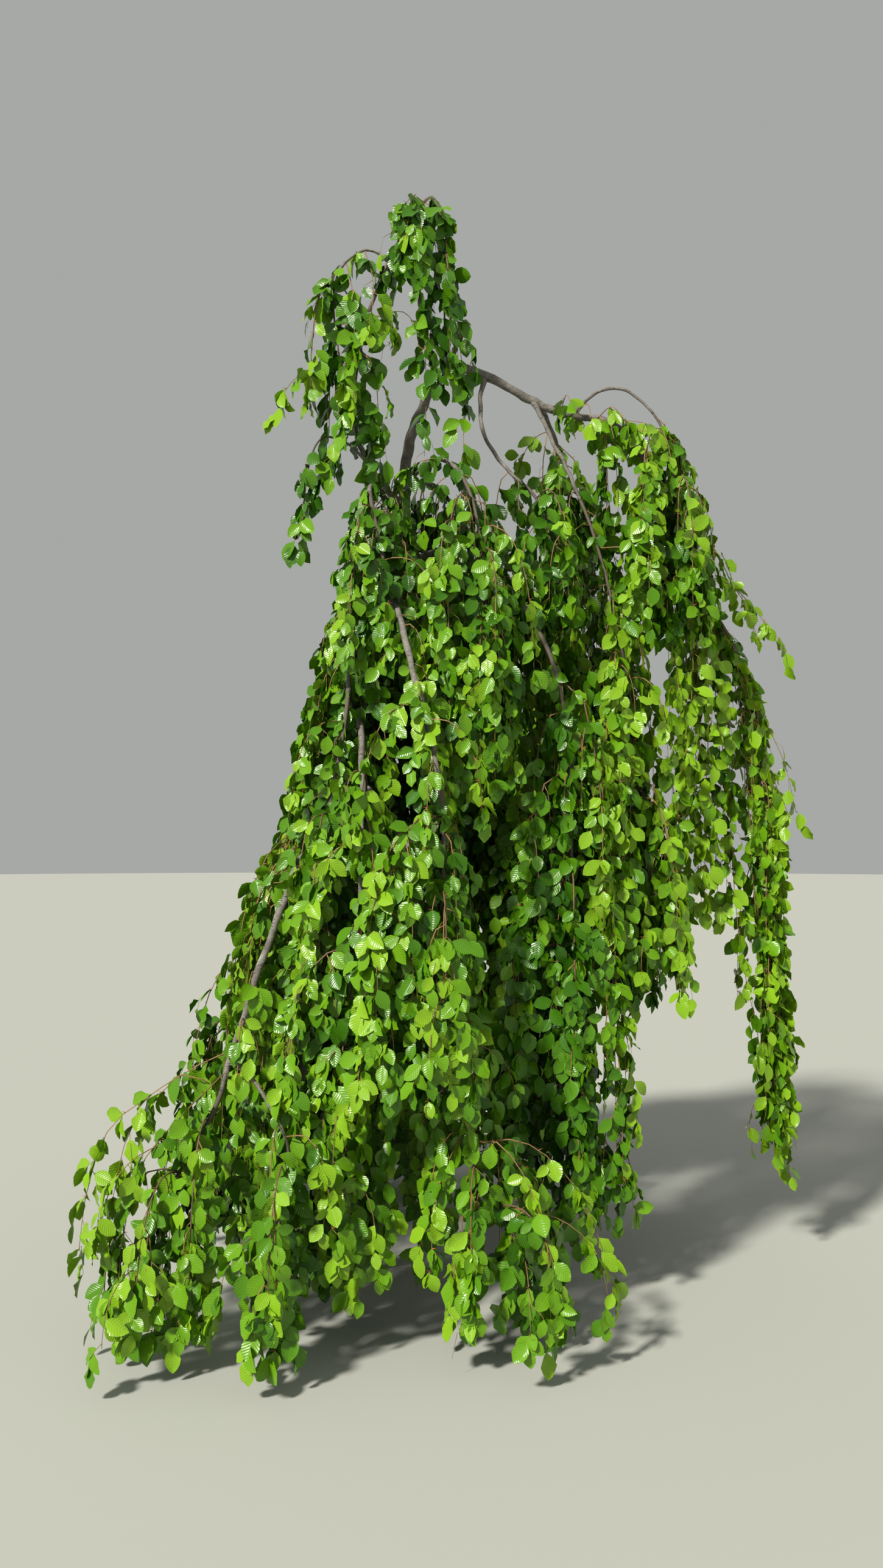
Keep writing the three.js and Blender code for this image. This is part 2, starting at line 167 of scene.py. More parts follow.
def raise_bark(limb, pattern, height):
    """Raises and sinks the bark of a limb by a soft pattern."""
    bpy.ops.object.modifier_add(type="DISPLACE")
    relief = limb.modifiers[-1]
    relief.texture = pattern
    relief.texture_coords = "LOCAL"
    relief.strength = height
    bpy.ops.object.modifier_apply(modifier=relief.name)


def soft_pattern(name, scale):
    """A cloudy pattern, with lumps of about the given size."""
    pattern = bpy.data.textures.new(name, "CLOUDS")
    pattern.noise_scale = scale
    return pattern


BARK_DENTS = soft_pattern("bark_dents", 0.045)
BARK_GRAIN = soft_pattern("bark_grain", 0.014)


def new_finish(name, roughness):
    """A material and its shader."""
    finish = bpy.data.materials.new(name)
    finish.use_nodes = True
    shader = finish.node_tree.nodes["Principled BSDF"]
    shader.inputs["Roughness"].default_value = roughness
    return finish, shader


def plug(finish, socket, value):
    """Links a socket of a finish to another one, or sets it to a plain value."""
    if isinstance(value, bpy.types.NodeSocket):
        finish.node_tree.links.new(value, socket)
    else:
        socket.default_value = value


def put(finish, kind, **sockets):
    """Adds a node to a finish, with its sockets linked or set."""
    node = finish.node_tree.nodes.new("ShaderNode" + kind)
    for name, value in sockets.items():
        plug(finish, node.inputs[name], value)
    return node


def steps(finish, factor, stops):
    """A ramp from colour to colour, by the place of each."""
    ramp = put(finish, "ValToRGB", Fac=factor)
    marks = ramp.color_ramp.elements
    while len(marks) < len(stops):
        marks.new(0.5)
    for mark, (place, colour) in zip(marks, stops):
        mark.position = place
        mark.color = (*colour, 1)
    return ramp.outputs["Color"]


def bark_finish(name, deep, pale, lichen, lichen_from):
    """Grey bark with soft blotches, fine creases across, and lichen where a slow noise is high."""
    finish, shader = new_finish(name, roughness=0.85)
    place = put(finish, "TexCoord").outputs["Object"]
    across = put(finish, "Mapping", Vector=place, Scale=(1, 1, 5)).outputs["Vector"]
    blotches = put(finish, "TexNoise", Vector=place, Scale=22, Detail=5, Roughness=0.6)
    creases = put(finish, "TexNoise", Vector=across, Scale=55, Detail=4, Roughness=0.65)
    patches = put(finish, "TexNoise", Vector=place, Scale=9, Detail=8, Roughness=0.75)
    ground = steps(finish, blotches.outputs["Fac"], [(0.32, deep), (0.68, pale)])
    dark = tuple(0.35 * c for c in deep)
    none, full = (0, 0, 0), (1, 1, 1)
    lines = steps(finish, creases.outputs["Fac"], [(0.36, none), (0.46, full)])
    creased = put(finish, "MixRGB", Fac=lines, Color1=(*dark, 1), Color2=ground)
    cover = steps(finish, patches.outputs["Fac"], [(lichen_from, none), (lichen_from + 0.07, full)])
    coloured = put(finish, "MixRGB", Fac=cover, Color1=creased.outputs["Color"], Color2=(*lichen, 1))
    plug(finish, shader.inputs["Base Color"], coloured.outputs["Color"])
    bump = put(finish, "Bump", Height=creases.outputs["Fac"], Strength=0.5, Distance=0.002)
    plug(finish, shader.inputs["Normal"], bump.outputs["Normal"])
    return finish


trunk_line = smooth_line(TRUNK_LINE)
rings = round(lengths(trunk_line)[-1] / TRUNK_RING)
line = evenly(trunk_line, rings)
share = np.linspace(0, 1, rings)
flare = FLARE * np.exp(-line[:, 2].clip(0) / FLARE_HEIGHT)
radii = between(TRUNK_GIRTH, share) * (1 + TRUNK_SWELLS * wander(TRUNK_SEED, rings)) + flare
trunk = tube("trunk_bark", line, radii, TRUNK_SIDES)
for vertex in trunk.data.vertices:
    ring = np.abs(line[:, 2] - vertex.co.z).argmin()
    off_x, off_y = vertex.co.x - line[ring, 0], vertex.co.y - line[ring, 1]
    ridge = RIDGE_SHARE * math.cos(ROOT_RIDGES * (math.atan2(off_y, off_x) - RIDGE_TURN))
    pull = flare[ring] * ridge / math.hypot(off_x, off_y)
    vertex.co.x += pull * off_x
    vertex.co.y += pull * off_y
raise_bark(trunk, BARK_DENTS, TRUNK_DENTS)
raise_bark(trunk, BARK_GRAIN, TRUNK_GRAIN)
bpy.ops.object.mode_set(mode="EDIT")
bpy.ops.mesh.select_all(action="SELECT")
bpy.ops.mesh.bisect(plane_co=(0, 0, 0), plane_no=(0, 0, 1), use_fill=True, clear_inner=True)
bpy.ops.object.mode_set(mode="OBJECT")
trunk_bark = bark_finish("trunk_bark", TRUNK_DEEP, TRUNK_PALE, TRUNK_LICHEN, TRUNK_LICHEN_FROM)
trunk.data.materials.append(trunk_bark)
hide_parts("trunk")
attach(trunk, "root")

limbs = {"trunk": {"line": trunk_line, "girth": TRUNK_GIRTH, "flare": FLARE * (1 + RIDGE_SHARE)}}

# The boughs are the same smooth bark, paler, with spots of lichen. The long arch carries on from the
# trunk's top in three lengths and the leader stands up beside it. Each other bough leaves its parent
# at a swollen collar. All are drawn as tubes on a curve, with the bark raised on them.

# A bough has its parent, its place there, its tip, how far its middle bows off a straight line, and
# its girth at both ends. A place up to 1 is a share of the parent, and over 1 a height on the trunk.
BOUGHS = {
    "arch_rise": ("trunk", 1, (0.720, 0, 3.520), (-0.050, 0, 0.150), (0.022, 0.019)),
    "arch_shoulder": ("arch_rise", 1, (1.180, -0.020, 3.318), (0, 0, -0.045), (0.019, 0.015)),
    "arch_fall": ("arch_shoulder", 1, (1.690, -0.060, 2.500), (-0.025, 0, 0.005), (0.015, 0.008)),
    "leader_low": ("trunk", 2.960, (0.250, -0.090, 3.400), (-0.060, 0, -0.030), (0.013, 0.010)),
    "leader_top": ("leader_low", 1, (0.530, -0.130, 4.150), (-0.050, 0, 0.020), (0.010, 0.006)),
    "leader_arm": ("leader_top", 0.66, (0.205, -0.170, 3.860), (0, 0, 0.060), (0.006, 0.0045)),
    "sprig_bough": ("leader_low", 0.45, (0.150, -0.160, 3.190), (0, 0, 0.025), (0.006, 0.0045)),
    "loop_bough": ("arch_shoulder", 0.9, (1.440, -0.110, 3.300), (0, 0, 0.110), (0.007, 0.005)),
    "pendant_near": ("arch_shoulder", 0.13, (0.930, -0.140, 3.000), (-0.080, 0, -0.020), (0.009, 0.007)),
    "pendant_far": ("arch_shoulder", 0.56, (1.145, -0.150, 2.940), (0, 0, 0.010), (0.009, 0.007)),
    "pendant_back": ("arch_shoulder", 0.6, (1.180, 0.320, 2.960), (0, 0.040, 0.110), (0.010, 0.007)),
    "left_high_bough": ("trunk", 2.860, (0.330, -0.310, 2.920), (-0.040, -0.020, 0.090), (0.013, 0.009)),
    "centre_high_bough": ("trunk", 3.000, (0.670, -0.330, 2.990), (0, -0.030, 0.090), (0.012, 0.008)),
    "right_mid_bough": ("trunk", 2.700, (0.960, -0.380, 2.380), (0, 0, 0.170), (0.015, 0.009)),
    "centre_front_bough": ("trunk", 2.560, (0.590, -0.800, 1.820), (-0.040, -0.150, 0.180), (0.015, 0.009)),
    "left_mid_bough": ("trunk", 2.300, (0.260, -0.430, 2.150), (-0.020, -0.020, 0.110), (0.014, 0.009)),
    "left_front_bough": ("trunk", 2.120, (0.330, -0.780, 1.400), (0.020, -0.130, 0.190), (0.014, 0.008)),
    "front_low_bough": ("trunk", 1.900, (0.690, -0.900, 0.640), (0.080, -0.170, 0.230), (0.013, 0.007)),
    "left_low_bough": ("trunk", 1.700, (-0.110, -0.850, 0.800), (0.040, -0.180, 0.150), (0.016, 0.009)),
    "left_low_fork": ("left_low_bough", 0.93, (0.110, -0.960, 0.680), (0, 0, 0.040), (0.007, 0.005)),
    "left_side_bough": ("trunk", 1.520, (-0.070, -0.080, 1.380), (-0.020, 0, 0.090), (0.012, 0.008)),
    "back_left_high_bough": ("trunk", 2.780, (0.390, 0.380, 2.850), (-0.020, 0.020, 0.100), (0.013, 0.009)),
    "back_centre_high_bough": ("trunk", 3.030, (0.720, 0.420, 2.960), (0, 0.020, 0.110), (0.012, 0.008)),
    "back_right_low_bough": ("trunk", 2.420, (0.970, 0.520, 1.780), (0.040, 0.060, 0.220), (0.015, 0.009)),
    "back_centre_low_bough": ("trunk", 2.240, (0.440, 0.740, 1.760), (0, 0.080, 0.200), (0.015, 0.009)),
    "back_left_low_bough": ("trunk", 1.800, (0.020, 0.580, 1.440), (-0.020, 0.060, 0.170), (0.014, 0.009)),
}
BOUGH_RING = 0.016
BOUGH_SIDES = 14
SLIM_BOUGH_SIDES = 10
SLIM_UNDER = 0.011
BOUGH_OVERLAP = 0.004
BOUGH_WANDER = 0.006
FULL_WANDER_FROM = 0.012
BOUGH_SWELLS = 0.06
COLLAR_SWELL = 0.6
COLLAR_LENGTH = 0.030
DENTS_OF_GIRTH = 0.25
GRAIN_OF_GIRTH = 0.08
BOUGH_DEEP = (0.115, 0.100, 0.085)
BOUGH_PALE = (0.245, 0.225, 0.200)
BOUGH_LICHEN = (0.36, 0.36, 0.31)
BOUGH_LICHEN_FROM = 0.60
BOUGH_SEEDS = {"x": 10, "y": 50, "swells": 90}
CURVE_POINTS = 200


def at_share(line, share):
    """The point at a share of a line whose points stand at equal steps."""
    place = share * (len(line) - 1)
    low = min(int(place), len(line) - 2)
    return line[low] + (place - low) * (line[low + 1] - line[low])


def end_way(line):
    """The way in which a line runs at its end."""
    return (line[-1] - line[-2]) / math.dist(line[-1], line[-2])


def bough_line(stem, place, tip, bow):
    """A bough's middle line. At its parent's tip it carries on the way that the parent runs."""
    start, tip, off = at_share(stem, place), np.array(tip), np.array(bow) * 4 / 3
    reach = tip - start
    arrive = start + reach * 2 / 3 + off
    leave = start + reach / 3 + off
    if place == 1:
        ahead = end_way(stem)
        leave = start + ahead * np.linalg.norm(reach) / 3
        start = start - ahead * BOUGH_OVERLAP
    return evenly(bezier(start, leave, arrive, tip, CURVE_POINTS), LINE_POINTS)


def bough_radii(line, girth, seed):
    """A bough's radius at each point of its line, which tapers and swells a little."""
    share = np.linspace(0, 1, len(line))
    return between(girth, share) * (1 + BOUGH_SWELLS * wander(seed, len(line)))


bough_bark = bark_finish("bough_bark", BOUGH_DEEP, BOUGH_PALE, BOUGH_LICHEN, BOUGH_LICHEN_FROM)
for number, (name, (parent, place, tip, bow, girth)) in enumerate(BOUGHS.items()):
    stem = limbs[parent]["line"]
    if place > 1:
        place = np.interp(place, stem[:, 2], np.linspace(0, 1, len(stem)))
    line = bough_line(stem, place, tip, bow)
    limbs[name] = {"line": line, "girth": girth, "flare": 0}
    rings = round(lengths(line)[-1] / BOUGH_RING)
    line = evenly(line, rings)
    wobble = BOUGH_WANDER * min(1, girth[0] / FULL_WANDER_FROM)
    line[:, 0] += wobble * wander(BOUGH_SEEDS["x"] + number, rings)
    line[:, 1] += wobble * wander(BOUGH_SEEDS["y"] + number, rings)
    radii = bough_radii(line, girth, BOUGH_SEEDS["swells"] + number)
    if place < 1:
        parent_girth = np.interp(place, (0, 1), limbs[parent]["girth"])
        out_of_parent = (lengths(line) - parent_girth).clip(0)
        radii *= 1 + COLLAR_SWELL * np.exp(-out_of_parent / COLLAR_LENGTH)
    bough = tube(name + "_bark", line, radii, BOUGH_SIDES if girth[0] > SLIM_UNDER else SLIM_BOUGH_SIDES)
    raise_bark(bough, BARK_DENTS, DENTS_OF_GIRTH * girth[0])
    raise_bark(bough, BARK_GRAIN, GRAIN_OF_GIRTH * girth[0])
    bough.data.materials.append(bough_bark)
    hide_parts(name)
    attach(bough, "root")

# The crown hangs in masses, which together leave open the space under the arch. Each mass fills a
# capsule round the line from its bough's tip to its foot. Its main shoots keep inside the walls that
# it shares with its neighbours. The finer ones and the leaves mingle, close by the masses' rooms.

# A mass has its bough, its foot, the capsule's girth at both ends, and its number of main shoots.
MASSES = {
    "crown_tip": ("leader_top", (0.610, -0.195, 3.365), (0.150, 0.205), 5),
    "crown_left": ("leader_arm", (0.235, -0.200, 3.170), (0.190, 0.250), 5),
    "left_sprig": ("sprig_bough", (0.060, -0.170, 2.780), (0.150, 0.175), 1),
    "arch_crest": ("loop_bough", (1.490, -0.310, 2.450), (0.180, 0.260), 5),
    "arch_tail": ("arch_fall", (1.885, -0.060, 0.430), (0.310, 0.195), 8),
    "left_high": ("left_high_bough", (0.430, -0.430, 2.250), (0.200, 0.265), 5),
    "centre_high": ("centre_high_bough", (0.760, -0.520, 2.060), (0.200, 0.270), 5),
    "pendant_near_fall": ("pendant_near", (1.030, -0.290, 2.480), (0.180, 0.240), 4),
    "pendant_far_fall": ("pendant_far", (1.380, -0.330, 1.040), (0.220, 0.290), 6),
    "right_mid": ("right_mid_bough", (1.020, -0.480, 0.340), (0.200, 0.300), 6),
    "centre_front": ("centre_front_bough", (0.570, -0.880, 0.800), (0.210, 0.300), 5),
    "left_mid": ("left_mid_bough", (0.120, -0.560, 0.960), (0.190, 0.280), 5),
    "left_front": ("left_front_bough", (0.230, -0.780, 0.220), (0.180, 0.280), 5),
    "front_skirt": ("front_low_bough", (0.890, -0.980, 0.150), (0.240, 0.330), 5),
    "left_skirt": ("left_low_bough", (-0.350, -1.030, 0.150), (0.200, 0.300), 6),
    "left_skirt_near": ("left_low_fork", (0.060, -1.130, 0.120), (0.150, 0.230), 4),
    "left_side": ("left_side_bough", (-0.250, -0.110, 0.220), (0.140, 0.290), 5),
    "back_left_high": ("back_left_high_bough", (0.190, 0.500, 1.560), (0.210, 0.300), 5),
    "back_centre_high": ("back_centre_high_bough", (0.760, 0.600, 1.900), (0.210, 0.310), 5),
    "back_right_high": ("pendant_back", (1.290, 0.520, 1.050), (0.200, 0.300), 6),
    "back_right_low": ("back_right_low_bough", (1.040, 0.740, 0.260), (0.210, 0.310), 5),
    "back_centre_low": ("back_centre_low_bough", (0.470, 0.980, 0.160), (0.220, 0.320), 5),
    "back_left_low": ("back_left_low_bough", (-0.130, 0.700, 0.180), (0.200, 0.320), 5),
}
WALL = 0.014
LOOSE = 0.090
PAST_SOLIDS = 0.045
GROUND_GAP = 0.006
CROWN_MIDDLE = (0.400, 0, 0)
OFF_MASS = 1.5
LIMB_SAMPLE = 0.030

tips = np.array([limbs[bough]["line"][-1] for bough, _, _, _ in MASSES.values()])
feet = np.array([foot for _, foot, _, _ in MASSES.values()])
girths = np.array([girth for _, _, girth, _ in MASSES.values()])
lowest = np.array(cad_low) - PAST_SOLIDS
highest = np.array(cad_high) + PAST_SOLIDS
lowest[2] = GROUND_GAP

samples = []
for limb in limbs.values():
    long = lengths(limb["line"])[-1]
    line = evenly(limb["line"], math.ceil(long / LIMB_SAMPLE) + 1)
    girth = between(limb["girth"], np.linspace(0, 1, len(line)))
    girth += limb["flare"] * np.exp(-line[:, 2].clip(0) / FLARE_HEIGHT)
    samples.append(np.column_stack([line, girth]))
samples = np.vstack(samples)


def depths(points):
    """How deep each point lies in the capsule of each mass."""
    way = feet - tips
    share = ((points[:, None] - tips) * way).sum(2) / (way**2).sum(1)
    share = share.clip(0, 1)
    away = np.linalg.norm(points[:, None] - tips - share[..., None] * way, axis=2)
    return girths[:, 0] + (girths[:, 1] - girths[:, 0]) * share - away


def in_own_room(points, mass):
    """Whether each point lies in a mass's capsule, inside the walls."""
    deep = depths(points)
    return (deep[:, mass] > 0) & (np.delete(deep, mass, 1).max(1) < deep[:, mass] - WALL)


def in_reach(points):
    """Whether each point lies above ground, inside the tree's own height and width."""
    return ((points > lowest) & (points < highest)).all(1)


def clear_of_limbs(points, gap):
    """Whether each point lies more than a gap from the side of every limb."""
    away = np.linalg.norm(points[:, None] - samples[:, :3], axis=2)
    return (away > samples[:, 3] + gap).all(1)


def unit(ways):
    """The same ways, each 1 m long."""
    return ways / np.linalg.norm(ways, axis=-1, keepdims=True)


def outward(points, mass):
    """The level way out of the crown and away from the middle of the mass, at each point."""
    way = feet[mass] - tips[mass]
    share = (((points - tips[mass]) @ way) / (way @ way)).clip(0, 1)
    away = (points - tips[mass] - share[:, None] * way) / girths[mass, 1]
    from_middle = points - CROWN_MIDDLE
    from_middle[:, 2] = 0
    level = OFF_MASS * away + unit(from_middle)
    level[:, 2] = 0
    return unit(level)


# Stems, shoots and streamers hang in each mass. The stem carries on from the bough's tip, and main
# shoots arch off it and fall to the hem. Streamers are finer and shorter, and leave the stem, the main
# shoots and the leafy end of each bough at all heights. This section grows their middle lines.
STEM_STEP = 0.330
STEM_LEAD = 0.22
STEM_HANG = 0.4
STEM_END = 0.0022
STEM_LINE_POINTS = 401
STEM_POINTS = 50
FEWEST_STRETCHES = 4
IN_STRETCH = 0.55
GOLDEN_ANGLE = math.pi * (3 - math.sqrt(5))
LOWEST_TIP = 0.040
TWIG_GAP = 0.006
TWIG_POINTS = 12

# The path of every hanging twig: how far it arches out and falls before it hangs, how it is shortened
# until it has room, and which of its points are tested. Its first ones lie in what it grows from.
ARCH_REACH = 0.55
FALL = 0.8
FALL_POINTS = 60
PATH_POINTS = 201
SHORTER = 0.85
UNTESTED = 8
TEST_STEP = 4
SHORTEST_SHOOT = 0.4
SHORTEST_STREAMER = 0.15
SHORTEST_TWIG = 0.12

# Main shoots, which repeat the solids' seeds, and then the streamers off stems, shoots and boughs.
SHOOT_SEED = 4001
SHOOT_SEED_STEP = 97
SHOOT_LEVELS = (0.6, 0.05)
SHOOT_INSET = 0.093
SHOOT_HEM = 0.3
SHOOT_CLIMB = 0.070
SHOOT_GIRTH = (0.0034, 0.0013)
FIRST_OUT = 0.6
STREAMER_SEED = 700
STREAMERS_PER_AREA = 26
STREAMER_LONG = (0.30, 1.00)
STREAMER_INSET = 0.030
STREAMER_HEM = 0.15
STREAMER_CLIMB = 0.030
STREAMER_GIRTH = (0.0026, 0.0010)
STEM_TURN = 1
ROUND_ENDS = 0.3
LOWEST_ROOT = 0.92
LEAST_OUT = 0.1
LEAST_FALL = 0.15
SIDE_STEP = 0.065
SIDE_PART = 0.95
SIDE_LONG = (0.18, 0.60)
SIDE_OUT = (0.03, 0.10)
SIDE_CLIMB = 0.010
BOUGH_STEP = 0.055
BOUGH_STREAMER_LONG = (0.16, 0.80)
BOUGH_STREAMER_OUT = (0.03, 0.22)
BOUGH_TURN = 2

# The share of a bough's length from which it bears shoots, and the further boughs of a mass.
LEAFY_FROM = {
    "leader_top": 0.40,
    "leader_arm": 0.20,
    "leader_low": 0.50,
    "loop_bough": 0.92,
    "arch_shoulder": 0.62,
    "arch_fall": 0,
    "pendant_near": 0.72,
    "pendant_far": 0.85,
    "left_low_bough": 0.70,
    "front_low_bough": 0.45,
}
LEAFY_ELSEWHERE = 0.30
FURTHER_BOUGHS = {"arch_crest": ["arch_shoulder", "arch_fall"], "crown_left": ["leader_low"]}

# How thick a mass hangs beside the others. The top is a few separate strings, with sky between.
FULLNESS = {
    "crown_tip": 0,
    "crown_left": 0,
    "left_sprig": 0,
    "arch_crest": 0.80,
    "arch_tail": 0.35,
    "pendant_near_fall": 0.70,
    "left_high": 0.85,
    "centre_high": 0.85,
    "right_mid": 0.60,
    "front_skirt": 0.70,
    "left_skirt": 0.60,
    "left_skirt_near": 0.60,
}

# The tail of the arch ends in one or two strings, so its shoots hang closer than in the solid.
CLOSE_HUNG = {"arch_tail": 0.40}

# Twigs that stand out of the crown in plain view, drawn one by one, mass by mass. Each has the limb
# it grows from and its place there, and the points it runs through.
DRAWN_TWIGS = {
    "crown_tip": [
        ("leader_top", 1.00, [(0.450, -0.200, 4.090), (0.400, -0.220, 3.960)]),
        ("leader_top", 1.00, [(0.490, -0.180, 4.150), (0.455, -0.230, 4.080)]),
        ("leader_top", 1.00, [(0.560, -0.170, 4.145), (0.600, -0.210, 4.070)]),
        ("leader_top", 0.97, [(0.450, -0.100, 4.060), (0.425, -0.080, 3.940)]),
        ("leader_top", 0.97, [(0.480, -0.220, 4.080), (0.465, -0.270, 3.930)]),
        ("leader_top", 0.95, [(0.510, -0.240, 4.060), (0.530, -0.270, 3.920)]),
        ("leader_top", 0.95, [(0.560, -0.080, 4.080), (0.585, -0.040, 3.930)]),
        ("leader_top", 0.93, [(0.500, -0.060, 4.020), (0.500, -0.030, 3.900)]),
        ("leader_top", 1.00, [(0.590, -0.180, 4.090), (0.625, -0.200, 3.900), (0.660, -0.220, 3.640),
                              (0.682, -0.240, 3.390), (0.685, -0.260, 3.060)]),
        ("leader_top", 0.90, [(0.530, -0.190, 3.960), (0.517, -0.220, 3.740), (0.534, -0.240, 3.540),
                              (0.541, -0.240, 3.350), (0.535, -0.260, 3.080)]),
    ],
    "crown_left": [
        ("leader_arm", 1.00, [(0.160, -0.200, 3.800), (0.117, -0.240, 3.690)]),
        ("leader_arm", 0.45, [(0.335, -0.230, 3.780), (0.330, -0.260, 3.630), (0.308, -0.280, 3.500)]),
        ("leader_arm", 0.85, [(0.255, -0.230, 3.740), (0.262, -0.280, 3.520), (0.206, -0.300, 3.320),
                              (0.218, -0.300, 3.160)]),
        ("leader_top", 0.10, [(0.137, -0.200, 3.460), (0.034, -0.220, 3.400), (-0.017, -0.240, 3.310),
                              (-0.022, -0.250, 3.220)]),
        ("leader_top", 0.35, [(0.442, -0.120, 3.710), (0.496, -0.130, 3.650), (0.505, -0.140, 3.600)]),
        ("leader_top", 0.38, [(0.400, -0.190, 3.640), (0.398, -0.200, 3.530)]),
        ("leader_top", 0.20, [(0.332, -0.200, 3.460), (0.357, -0.220, 3.260), (0.366, -0.240, 3.030)]),
    ],
    "left_high": [
        ("left_high_bough", 0.35, [(0.420, -0.200, 3.020), (0.450, -0.240, 2.920), (0.455, -0.250, 2.780)]),
    ],
    "left_sprig": [
        ("sprig_bough", 0.50, [(0.170, -0.190, 3.090), (0.100, -0.210, 2.960), (0.070, -0.240, 2.850),
                               (0.050, -0.250, 2.760)]),
    ],
    "arch_crest": [
        ("arch_shoulder", 0.80, [(1.100, -0.080, 3.390), (1.130, -0.120, 3.270)]),
        ("arch_shoulder", 0.92, [(1.180, -0.090, 3.350), (1.200, -0.140, 3.200)]),
        ("arch_fall", 0.05, [(1.280, -0.080, 3.340), (1.350, -0.120, 3.230)]),
        ("arch_fall", 0.10, [(1.340, -0.060, 3.290), (1.430, -0.090, 3.260), (1.510, -0.110, 3.160)]),
        ("arch_fall", 0.15, [(1.400, -0.140, 3.220), (1.510, -0.170, 3.170), (1.560, -0.190, 3.050)]),
        ("arch_fall", 0.18, [(1.460, 0.020, 3.150), (1.530, 0.040, 3.040)]),
        ("loop_bough", 1.00, [(1.500, -0.130, 3.220), (1.530, -0.150, 3.120)]),
    ],
    "arch_tail": [
        ("arch_fall", 0.35, [(1.550, -0.100, 2.980), (1.623, -0.100, 2.860), (1.650, -0.110, 2.760)]),
        ("arch_fall", 0.62, [(1.690, -0.090, 2.740), (1.742, -0.100, 2.630), (1.842, -0.120, 2.500),
                             (1.935, -0.120, 2.350)]),
        ("arch_fall", 0.80, [(1.740, -0.140, 2.600), (1.790, -0.160, 2.500), (1.830, -0.180, 2.370)]),
        ("arch_fall", 0.97, [(1.740, -0.120, 2.350), (1.775, -0.140, 2.200), (1.830, -0.150, 2.110)]),
        ("arch_fall", 1.00, [(1.800, -0.100, 2.150), (1.887, -0.140, 1.850), (1.950, -0.150, 1.690)]),
        ("arch_fall", 1.00, [(1.850, -0.080, 2.130), (1.940, -0.100, 1.920), (1.985, -0.100, 1.720)]),
        ("arch_fall", 0.95, [(1.720, -0.090, 2.200), (1.730, -0.110, 1.600), (1.755, -0.120, 1.200),
                             (1.830, -0.120, 0.800), (1.860, -0.110, 0.520)]),
        ("arch_fall", 1.00, [(1.780, -0.060, 2.150), (1.830, -0.080, 1.300), (1.900, -0.080, 0.820),
                             (1.940, -0.070, 0.330)]),
        ("arch_fall", 0.80, [(1.620, -0.220, 2.300), (1.607, -0.200, 1.690), (1.600, -0.200, 1.330)]),
        ("arch_fall", 0.70, [(1.550, -0.280, 2.250), (1.480, -0.300, 1.700), (1.450, -0.300, 1.320)]),
        ("arch_fall", 0.90, [(1.680, -0.100, 2.150), (1.670, -0.080, 1.700), (1.680, -0.100, 1.320)]),
        ("arch_fall", 0.85, [(1.630, 0.060, 2.150), (1.640, 0.080, 1.400)]),
        ("arch_fall", 0.75, [(1.580, 0.010, 2.200), (1.550, 0.020, 1.480)]),
    ],
    "left_skirt": [
        ("left_low_bough", 1.00, [(-0.220, -0.880, 0.860), (-0.320, -0.900, 0.800), (-0.448, -0.930, 0.700),
                                  (-0.510, -0.960, 0.500), (-0.524, -0.980, 0.340)]),
        ("left_low_bough", 0.95, [(-0.240, -0.950, 0.720), (-0.338, -0.980, 0.590), (-0.381, -1.020, 0.360),
                                  (-0.390, -1.030, 0.200)]),
        ("left_low_bough", 0.90, [(-0.250, -0.800, 0.840), (-0.420, -0.780, 0.660),
                                  (-0.480, -0.780, 0.420)]),
    ],
    "left_skirt_near": [
        ("left_low_fork", 1.00, [(0.190, -1.010, 0.690), (0.255, -1.050, 0.540), (0.270, -1.070, 0.340)]),
    ],
    "front_skirt": [
        ("front_low_bough", 1.00, [(0.850, -0.930, 0.660), (1.000, -0.960, 0.550), (1.090, -1.000, 0.370),
                                   (1.130, -1.020, 0.230)]),
        ("front_low_bough", 1.00, [(0.770, -0.980, 0.670), (0.860, -1.050, 0.570), (0.915, -1.100, 0.380),
                                   (0.925, -1.120, 0.190)]),
        ("front_low_bough", 0.97, [(0.620, -0.950, 0.600), (0.575, -1.000, 0.440), (0.570, -1.020, 0.270)]),
    ],
}

